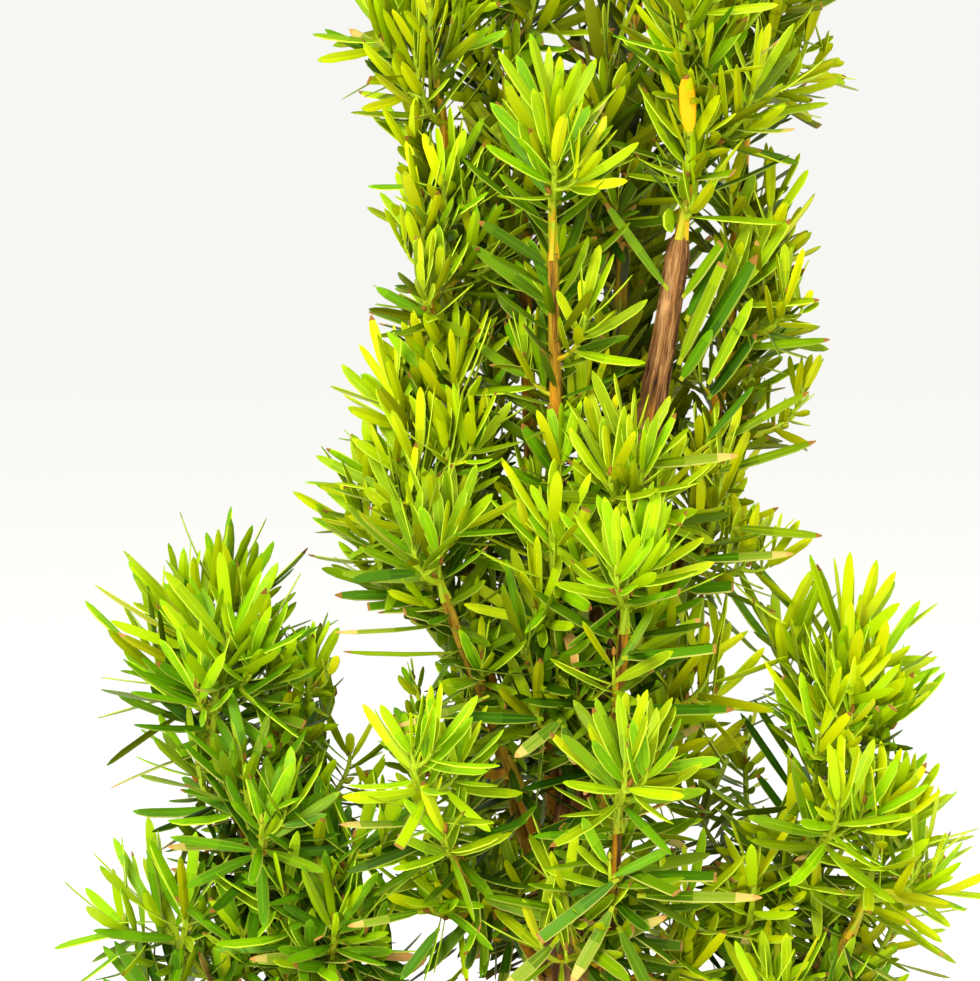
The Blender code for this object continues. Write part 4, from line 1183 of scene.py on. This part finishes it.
SIDE_BUDS = (0, 3, 2, 0)  # on a limb, a stem, a twig, a fine twig
bud_points, bud_faces = bud_template()
draw = random.Random("buds")
buds, bud_slots = [], []
for growth in growths:
    if growth.order == 0:
        continue
    direction = tangent_at(growth.line, len(growth.line) - 1)
    if growth.fresh < 0.75 or draw.random() < 0.3:
        size, turn = draw.uniform(0.0022, 0.0032), draw.uniform(0, 6)
        buds.append(bud_at(growth.line[-1], direction, size, turn))
        bud_slots += [0 if draw.random() < 0.6 else 1] * len(bud_faces)
    for _ in range(SIDE_BUDS[growth.order]):
        share = draw.uniform(0.15, 0.8)
        point, direction = along(growth.line, share)
        across, over = square_to(direction)
        turn = draw.uniform(0, math.tau)
        side = across * math.cos(turn) + over * math.sin(turn)
        size = draw.uniform(0.0020, 0.0034)
        buds.append(bud_at(point + side * growth.foot_radius, side + direction * 1.6, size, turn))
        bud_slots += [1 if growth.fresh > 0.5 and draw.random() < 0.6 else 0] * len(bud_faces)
points, faces = joined([(some, bud_faces) for some in buds])
bud_finishes = [plain_finish(name, tone, 0.6) for name, tone in BUD_TONES.items()]
bud_piece = mesh_of("buds", points, faces, bud_finishes, bud_slots, 60)
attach(bud_piece, "root")
print(len(buds), "buds")

# %% [markdown]
# ## Bark
# Yew bark is thin and comes away in long strips, so its furrows run along the stem. The relief
# is real: each point of a fine tube is pushed in where a stretched noise has a furrow. The same
# stretched place is stored with each point, and the bark's colour reads it, so the colour and
# the furrows follow every bend of a limb, with no seam.

# %% Furrows, collars and the bark's meshes
TRUNK_GRID = (72, 320)  # sides, rings
LIMB_GRID = (20, 110)
FURROW_DEPTH = 0.18  # share of the radius
FURROW_WIDTH = 0.0013
STRIP_LENGTH = 0.022
WAVE_LENGTH = 0.02
KNOB_HEIGHT, KNOB_REACH, KNOB_SIZE = 0.193, 0.007, 0.0016


def furrow(place):
    """From 0 on the plates to 1 in a furrow, at a place of the stretched bark."""
    value = noise.fractal(place, 0.8, 2.1, 4)
    return max(0.0, 1.0 - abs(value) * 4.5)


def bark_tube(line, radii, grid, seed):
    """Points, faces, and the stretched place of each point."""
    turn, share, faces = straight_tube(*grid)
    length = length_of(line)
    radius = np.interp(share, np.linspace(0, 1, len(radii)), radii)
    x, y = np.cos(turn) * radius / FURROW_WIDTH, np.sin(turn) * radius / FURROW_WIDTH
    places = np.stack([x, y, share * length / STRIP_LENGTH * 1.6 + seed * 7.3], axis=1)
    depth = np.array([furrow(Vector(place)) for place in places])
    waves = []
    for around, up in zip(turn, share):
        place = Vector((math.cos(around), math.sin(around), up * length / WAVE_LENGTH + seed))
        waves.append(noise.noise(place))
    waves = np.array(waves)
    radius = radius * (1 + 0.10 * waves) - depth * (FURROW_DEPTH * radius)
    return turn, share, faces, radius, places


def with_grain(piece, places):
    grain = piece.data.attributes.new("grain", "FLOAT_VECTOR", "POINT")
    grain.data.foreach_set("vector", places.astype(np.float32).reshape(-1))


fine_trunk = curve_of(Vector((0.0, 0.0, SOIL_LEVEL - 0.003)), *TRUNK_BOW, TRUNK_TOP, 160)
radii = [trunk_radius(max(point.z, SOIL_LEVEL)) for point in fine_trunk]
turn, share, faces, radius, places = bark_tube(fine_trunk, radii, TRUNK_GRID, 0)
shoulder = np.clip((share - 0.972) / 0.028, 0, 1)
radius = radius * np.sqrt(1 - 0.72 * shoulder**2)  # the top is rounded off under the leading shoot
points = carried(turn, share, fine_trunk, radius)
heights = points[:, 2]
collars = np.zeros(len(points))
for limb in LIMBS:  # the trunk swells a little under every limb
    foot = np.array(limb_lines[limb.name][0][0])
    away = np.linalg.norm((points - foot) * (1.0, 1.0, 0.6), axis=1)
    collars += 0.0011 * np.exp(-((away / 0.0055) ** 2))
lumps = np.array([noise.noise(Vector(point) * 260) for point in points])
knob = KNOB_SIZE * np.exp(-(((heights - KNOB_HEIGHT) / KNOB_REACH) ** 2)) * (1 + 0.9 * lumps)
foot_lobes = 0.0016 * np.exp(-(heights - SOIL_LEVEL) / 0.010) * np.cos(turn * 5 + 0.6)
points = carried(turn, share, fine_trunk, radius + collars + knob + foot_lobes)
deepest = round(FURROW_DEPTH * TRUNK_RADIUS * 1000, 2)
print("trunk bark:", len(points), "points, furrows up to", deepest, "mm deep")

# %% The bark's colour
def ramp_of(nodes, links, source, stops):
    """A colour ramp fed by a value; stops are (place, colour)."""
    ramp = nodes.new("ShaderNodeValToRGB")
    for index, (place, colour) in enumerate(stops):
        stop = ramp.color_ramp.elements[index] if index < 2 else ramp.color_ramp.elements.new(place)
        stop.position = place
        stop.color = linear(*colour)
    links.new(source, ramp.inputs["Fac"])
    return ramp.outputs["Color"]


def noise_of(nodes, links, place, scale, detail=4.0, roughness=0.6, stretch=None):
    """A noise texture on a place, with its axes stretched where that is asked for."""
    if stretch:
        mapping = nodes.new("ShaderNodeMapping")
        mapping.inputs["Scale"].default_value = stretch
        links.new(place, mapping.inputs["Vector"])
        place = mapping.outputs["Vector"]
    texture = nodes.new("ShaderNodeTexNoise")
    texture.inputs["Scale"].default_value = scale
    texture.inputs["Detail"].default_value = detail
    texture.inputs["Roughness"].default_value = roughness
    links.new(place, texture.inputs["Vector"])
    return texture.outputs["Fac"]


def mixed(nodes, links, share, first, second):
    """Two colours mixed by a share, each a socket or an (r, g, b) of 0 to 255."""
    mix = nodes.new("ShaderNodeMix")
    mix.data_type = "RGBA"
    for value, name in ((first, "A"), (second, "B")):
        socket = [s for s in mix.inputs if s.name == name and s.type == "RGBA"][0]
        if isinstance(value, tuple):
            socket.default_value = linear(*value)
        else:
            links.new(value, socket)
    links.new(share, [s for s in mix.inputs if s.name == "Factor" and s.type == "VALUE"][0])
    return [s for s in mix.outputs if s.type == "RGBA"][0]


def bumped(nodes, links, height, distance, strength=1.0):
    bump = nodes.new("ShaderNodeBump")
    bump.inputs["Distance"].default_value = distance
    bump.inputs["Strength"].default_value = strength
    links.new(height, bump.inputs["Height"])
    return bump.outputs["Normal"]


def rough_finish(name, roughness, specular):
    """A new material with its nodes, its links and its shader."""
    material = bpy.data.materials.new(name)
    material.use_nodes = True
    shader = material.node_tree.nodes["Principled BSDF"]
    shader.inputs["Roughness"].default_value = roughness
    shader.inputs["Specular IOR Level"].default_value = specular
    return material, material.node_tree.nodes, material.node_tree.links, shader


def bark_finish(name, tones, flake, flake_share):
    """Plates and furrows by the stretched grain, and patches where a strip has come away."""
    material, nodes, links, shader = rough_finish(name, 0.82, 0.2)
    grain = nodes.new("ShaderNodeAttribute")
    grain.attribute_name = "grain"
    place = grain.outputs["Vector"]
    strips = noise_of(nodes, links, place, 0.55, 6.0, 0.65)
    plates = ramp_of(nodes, links, strips, zip((0.37, 0.45, 0.52, 0.64), tones))
    patches = noise_of(nodes, links, place, 0.22, 3.0, 0.5, (1.0, 1.0, 1.6))
    bare, flaked = (flake_share, (0, 0, 0)), (flake_share + 0.05, (255, 255, 255))
    mask = ramp_of(nodes, links, patches, [bare, flaked])
    links.new(mixed(nodes, links, mask, plates, flake), shader.inputs["Base Color"])
    fibres = noise_of(nodes, links, place, 1.3, 5.0, 0.7, (1.0, 1.0, 0.5))
    links.new(bumped(nodes, links, fibres, 0.0013, 1.0), shader.inputs["Normal"])
    return material


TRUNK_TONES = ((44, 26, 12), (110, 72, 34), (156, 108, 58), (204, 158, 100))
LIMB_TONES = ((74, 50, 12), (146, 108, 24), (188, 146, 30), (204, 178, 46))
trunk_finish = bark_finish("trunk_bark", TRUNK_TONES, (200, 134, 44), 0.63)
limb_finish = bark_finish("limb_bark", LIMB_TONES, (214, 146, 22), 0.54)
cut_finish = plain_finish("cut_wood", (206, 176, 116), 0.75, 0.2)

KNOB_TONES = ((120, 84, 44), (172, 128, 76), (200, 158, 100), (224, 188, 136))
knob_finish = bark_finish("knob_bark", KNOB_TONES, (214, 170, 104), 0.60)
BARK_SHARP = 50
from_knob = np.abs(heights + 0.002 * lumps - KNOB_HEIGHT)
slots = [
    1 if np.mean(share[face]) > 0.9999 else 2 if np.mean(from_knob[face]) < KNOB_REACH * 0.9 else 0
    for face in faces
]
trunk_finishes = [trunk_finish, cut_finish, knob_finish]
trunk_piece = mesh_of("bark_of_trunk", points, faces, trunk_finishes, slots, BARK_SHARP)
with_grain(trunk_piece, places)
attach(trunk_piece, "root")
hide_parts("trunk")

parts, grains = [], []
for number, limb in enumerate(LIMBS):
    line, limb_radii = limb_lines[limb.name]
    inward = line[0] - tangent_at(line, 0) * 0.0035
    line = even([inward, *line, line[-1] + tangent_at(line, len(line) - 1) * 0.0004], 60)
    turn, share, faces, radius, places = bark_tube(line, limb_radii, LIMB_GRID, number + 1)
    radius = radius * (1 + 0.35 * np.exp(-share * length_of(line) / 0.006))
    parts.append((carried(turn, share, line, radius), faces))
    grains.append(places)
points, faces = joined(parts)
limb_piece = mesh_of("bark_of_limbs", points, faces, [limb_finish], None, BARK_SHARP)
with_grain(limb_piece, np.concatenate(grains))
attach(limb_piece, "root")
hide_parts(*[limb.name for limb in LIMBS])
print("limb bark:", len(points), "points")

# %% [markdown]
# ## The pot
# A plain clay pot is thrown or pressed, then fired once and left unglazed. It is turned here from
# its section: the foot, the tapering wall, the thicker band below the mouth, and the rounded lip.
# Faint rings round the wall are left by the tool, and salts from the water bloom on the clay.

# %% The pot's shape
POT_HEIGHT, FOOT_RADIUS, RIM_RADIUS = 0.152, 0.060, 0.086
RIM_BAND, RIM_STEP = 0.024, 0.0035
WALL, FLOOR = 0.0065, 0.009
EDGE = 0.0015
ROUND_STEPS = 5
SPIN_STEPS = 160


def wall_radius(height):
    return FOOT_RADIUS + (RIM_RADIUS - RIM_STEP - FOOT_RADIUS) * height / POT_HEIGHT


def rounded(radius, height, start, size=EDGE):
    """A quarter round at a corner, as points from angle start (degrees) over the next 90."""
    turns = [math.radians(start + 90 * step / ROUND_STEPS) for step in range(ROUND_STEPS + 1)]
    return [(radius + size * math.cos(turn), height + size * math.sin(turn)) for turn in turns]


def pot_profile():
    band_foot = POT_HEIGHT - RIM_BAND
    mouth = RIM_RADIUS - WALL
    inner_foot = wall_radius(FLOOR) - WALL
    outer = rounded(FOOT_RADIUS - EDGE, EDGE, -90)
    steps = 44
    for step in range(1, steps):
        height = EDGE + (band_foot - EDGE) * step / steps
        ring = 0.00012 * math.sin(height * 1900) * math.sin(height * 260 + 1.0)
        outer.append((wall_radius(height) - 0.0002 + ring, height))
    under_band = wall_radius(band_foot)
    band = [(under_band, band_foot - 0.0004), (under_band + 0.0006, band_foot)]
    band += rounded(under_band + RIM_STEP - 0.0008, band_foot + 0.0008, -90, 0.0008)
    band += rounded(RIM_RADIUS - EDGE, POT_HEIGHT - EDGE, 0)
    inner = rounded(mouth + EDGE, POT_HEIGHT - EDGE, 90)
    for step in range(1, 13):
        height = POT_HEIGHT - EDGE - (POT_HEIGHT - EDGE - FLOOR) * step / 12
        inner.append((mouth + (inner_foot - mouth) * step / 12, height))
    return [(0.0, 0.0), *outer, *band, *inner, (0.0, FLOOR)]


def turned(name, profile, finish):
    """A solid of revolution round Z from (radius, height) points that end on the axis."""
    shape = bmesh.new()
    verts = [shape.verts.new((radius, 0.0, height)) for radius, height in profile]
    geom = verts + [shape.edges.new(pair) for pair in zip(verts, verts[1:])]
    about = {"axis": UP, "cent": (0.0, 0.0, 0.0), "angle": math.tau}
    bmesh.ops.spin(shape, geom=geom, **about, steps=SPIN_STEPS, use_merge=True)
    bmesh.ops.remove_doubles(shape, verts=shape.verts, dist=1e-6)
    bmesh.ops.recalc_face_normals(shape, faces=shape.faces)
    mesh = bpy.data.meshes.new(name)
    shape.to_mesh(mesh)
    shape.free()
    return object_of(name, mesh, [finish], None, 40)

# %% The fired clay
CLAY_CLOUDS = (  # place on the ramp, colour
    (0.30, (164, 84, 52)), (0.48, (186, 102, 64)), (0.62, (202, 120, 80)), (0.78, (214, 142, 104)),
)
SALT_BANDS = (  # share of the pot's height, grey
    (0.0, 90), (0.10, 150), (0.32, 70), (0.80, 110), (0.90, 205), (1.0, 120),
)


def clay_finish():
    """Warm clay with paler and redder clouds, pale salts in bands, and fine sandy grains."""
    material, nodes, links, shader = rough_finish("fired_clay", 0.88, 0.18)
    place = nodes.new("ShaderNodeTexCoord").outputs["Object"]
    clouds = noise_of(nodes, links, place, 16.0, 5.0, 0.6, (1.0, 1.0, 1.8))
    clay = ramp_of(nodes, links, clouds, CLAY_CLOUDS)
    salts = noise_of(nodes, links, place, 34.0, 8.0, 0.72, (1.0, 1.0, 0.55))
    height = nodes.new("ShaderNodeSeparateXYZ")
    links.new(place, height.inputs["Vector"])
    share = heights_of(nodes, links, height.outputs["Z"])
    band = ramp_of(nodes, links, share, [(place_up, (grey,) * 3) for place_up, grey in SALT_BANDS])
    both = nodes.new("ShaderNodeMath")
    both.operation = "MULTIPLY"
    links.new(salts, both.inputs[0])
    links.new(band, both.inputs[1])
    salty = both.outputs["Value"]
    bloom = ramp_of(nodes, links, salty, [(0.10, (0, 0, 0)), (0.34, (170, 170, 170))])
    dusted = mixed(nodes, links, bloom, clay, (226, 204, 184))
    grains = noise_of(nodes, links, place, 1500.0, 2.0, 0.5)
    dark = ramp_of(nodes, links, grains, [(0.60, (0, 0, 0)), (0.74, (130, 130, 130))])
    links.new(mixed(nodes, links, dark, dusted, (120, 66, 44)), shader.inputs["Base Color"])
    sandy = noise_of(nodes, links, place, 700.0, 5.0, 0.7)
    links.new(bumped(nodes, links, sandy, 0.0004, 0.55), shader.inputs["Normal"])
    return material


def heights_of(nodes, links, height):
    """The height as a share of the pot's own."""
    share = nodes.new("ShaderNodeMath")
    share.operation = "DIVIDE"
    share.inputs[1].default_value = POT_HEIGHT
    links.new(height, share.inputs[0])
    return share.outputs["Value"]


pot = turned("clay_pot", pot_profile(), clay_finish())
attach(pot, "root")
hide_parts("pot")
print("the pot has", len(pot.data.polygons), "faces")

# %% [markdown]
# ## The compost
# Damp compost fills the pot to a finger's breadth below the lip. It sinks a little round the
# wall and heaps up round the stem. Loose crumbs, shreds of bark and a few white grains of
# perlite lie on it. Each kind is one small lump, copied with arrays and squeezed differently.

# %% The compost's surface
def compost_height(x, y):
    """How far the surface stands above its usual level at a place."""
    out = math.hypot(x, y)
    heap = 0.0022 * math.exp(-((out / 0.022) ** 2))
    coarse = noise.fractal(Vector((x, y, 0.4)) * 55, 0.9, 2.0, 3) * 0.0016
    fine = noise.fractal(Vector((x, y, 0.9)) * 420, 0.8, 2.0, 3) * 0.0005
    return heap + coarse + fine - 0.0008


inner_slope = (RIM_RADIUS - WALL - (wall_radius(FLOOR) - WALL)) / (POT_HEIGHT - EDGE - FLOOR)
soil_radius = wall_radius(FLOOR) - WALL + inner_slope * (SOIL_LEVEL - FLOOR) - GAP
soil_foot = wall_radius(FLOOR) - WALL - GAP + inner_slope * GAP
SOIL_RINGS = 60
profile = [(0.0, FLOOR + GAP), (soil_foot, FLOOR + GAP), (soil_radius, SOIL_LEVEL)]
for ring in range(1, SOIL_RINGS + 1):
    profile.append((soil_radius * (1 - ring / SOIL_RINGS), SOIL_LEVEL))


EARTH_TONES = (
    (0.32, (30, 20, 14)), (0.50, (58, 40, 28)), (0.64, (86, 60, 40)), (0.80, (124, 92, 62)),
)


def compost_finish():
    material, nodes, links, shader = rough_finish("damp_compost", 0.95, 0.15)
    place = nodes.new("ShaderNodeTexCoord").outputs["Object"]
    crumbs = noise_of(nodes, links, place, 420.0, 6.0, 0.7)
    earth = ramp_of(nodes, links, crumbs, EARTH_TONES)
    links.new(earth, shader.inputs["Base Color"])
    links.new(bumped(nodes, links, crumbs, 0.0012, 0.8), shader.inputs["Normal"])
    return material


soil = turned("compost", profile, compost_finish())
for vert in soil.data.vertices:
    out = math.hypot(vert.co.x, vert.co.y)
    if vert.co.z > SOIL_LEVEL - 1e-5:
        near_wall = max(0.0, 1 - (soil_radius - out) / 0.004)
        vert.co.z += compost_height(vert.co.x, vert.co.y) * (1 - near_wall) - 0.0012 * near_wall
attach(soil, "root")
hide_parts("potting_soil")
print("the compost's surface lies", round((POT_HEIGHT - SOIL_LEVEL) * 1000), "mm below the lip")

# %% Crumbs, shreds of bark and perlite
LITTER = (  # name, colour, how many, half sizes in metres
    ("crumb_dark", (44, 30, 20), 900, (0.0011, 0.0009, 0.0007)),
    ("crumb_brown", (82, 58, 38), 700, (0.0010, 0.0008, 0.0006)),
    ("bark_shred", (132, 84, 48), 130, (0.0042, 0.0012, 0.0005)),
    ("wood_shred", (168, 128, 82), 60, (0.0046, 0.0007, 0.0004)),
    ("perlite", (224, 222, 212), 90, (0.0013, 0.0012, 0.0010)),
)
draw = random.Random("litter")
shape = bmesh.new()
bmesh.ops.create_icosphere(shape, subdivisions=1, radius=1.0)
shape.verts.index_update()
lump_points = np.array([vert.co for vert in shape.verts])
lump_faces = [[vert.index for vert in face.verts] for face in shape.faces]
shape.free()
parts, litter_slots = [], []
for slot, (name, colour, count, sizes) in enumerate(LITTER):
    for _ in range(count):
        out = (soil_radius - 0.004) * math.sqrt(draw.random())
        if out < TRUNK_RADIUS + FLARE + 0.001:
            continue
        turn = draw.uniform(0, math.tau)
        x, y = out * math.cos(turn), out * math.sin(turn)
        rough = np.array([draw.uniform(0.72, 1.15) for _ in lump_points])[:, None]
        spin, tip = draw.uniform(0, math.tau), draw.gauss(0, 0.25)
        local = lump_points * rough * np.array(sizes) * draw.uniform(0.6, 1.5)
        c, s = math.cos(tip), math.sin(tip)
        local = local @ np.array([[c, 0, -s], [0, 1, 0], [s, 0, c]])
        c, s = math.cos(spin), math.sin(spin)
        local = local @ np.array([[c, s, 0], [-s, c, 0], [0, 0, 1]])
        height = SOIL_LEVEL + compost_height(x, y) + sizes[2] * 0.35
        parts.append((local + (x, y, height), lump_faces))
        litter_slots += [slot] * len(lump_faces)
points, faces = joined(parts)
litter_finishes = [plain_finish(name, colour, 0.92, 0.15) for name, colour, _, _ in LITTER]
litter = mesh_of("compost_litter", points, faces, litter_finishes, litter_slots, 30)
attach(litter, "root")
print(len(parts), "crumbs and shreds")

# %% [markdown]
# ## The room, the light and the camera
# The plant stands on a pale floor that meets a pale wall with no edge, as in a bright studio.
# A large soft window stands up on the left in front, and a weak fill on the right. The camera
# looks a little down at the crown through a long lens, so the sides of the plant stay straight.

# %% The floor and the room's light
FLOOR_RADIUS = 12.0
shape = bmesh.new()
bmesh.ops.create_circle(shape, cap_ends=True, segments=96, radius=FLOOR_RADIUS)
mesh = bpy.data.meshes.new("floor")
shape.to_mesh(mesh)
shape.free()
floor = bpy.data.objects.new("floor", mesh)
bpy.context.scene.collection.objects.link(floor)
floor.data.materials.append(plain_finish("pale_floor", (255, 255, 254), 0.9, 0.0))
floor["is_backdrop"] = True

world = bpy.data.worlds.new("pale_room")
bpy.context.scene.world = world
world.use_nodes = True
world.node_tree.nodes["Background"].inputs["Color"].default_value = (0.93, 0.925, 0.90, 1.0)
world.node_tree.nodes["Background"].inputs["Strength"].default_value = 1.0


def panel(name, place, aim, size, power, colour):
    """A soft rectangular lamp that faces a point."""
    lamp = bpy.data.lights.new(name, "AREA")
    lamp.shape = "RECTANGLE"
    lamp.size, lamp.size_y = size
    lamp.energy = power
    lamp.color = colour
    holder = bpy.data.objects.new(name, lamp)
    holder.location = place
    holder.rotation_euler = (Vector(aim) - Vector(place)).to_track_quat("-Z", "Y").to_euler()
    bpy.context.scene.collection.objects.link(holder)


CROWN_MIDDLE = (0.0, 0.0, 0.33)
panel("window", (-0.7, -1.3, 1.3), CROWN_MIDDLE, (0.9, 0.9), 42.0, (1.0, 0.98, 0.93))
panel("fill", (1.1, -0.9, 0.7), CROWN_MIDDLE, (1.0, 1.0), 8.0, (1.0, 1.0, 1.0))

# %% The camera
VIEW_MIDDLE = Vector((-0.0221, 0.0, 0.3175))
VIEW_DISTANCE = 0.955
VIEW_RISE = math.radians(5.0)
lens = bpy.data.cameras.new("camera")
lens.lens = 135
lens.sensor_width = 36
lens.clip_start = 0.05
camera = bpy.data.objects.new("camera", lens)
towards_eye = Vector((0.0, -math.cos(VIEW_RISE), math.sin(VIEW_RISE)))
camera.location = VIEW_MIDDLE + towards_eye * VIEW_DISTANCE
camera.rotation_euler = (VIEW_MIDDLE - camera.location).to_track_quat("-Z", "Y").to_euler()
bpy.context.scene.collection.objects.link(camera)
bpy.context.scene.camera = camera
bpy.context.scene.view_settings.view_transform = "Standard"

# %% Sizes before and after
low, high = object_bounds()
{"cad": [list(cad_low), list(cad_high)], "visual": [list(low), list(high)]}
print("the dressed plant measures", [round(top - bottom, 4) for bottom, top in zip(low, high)])
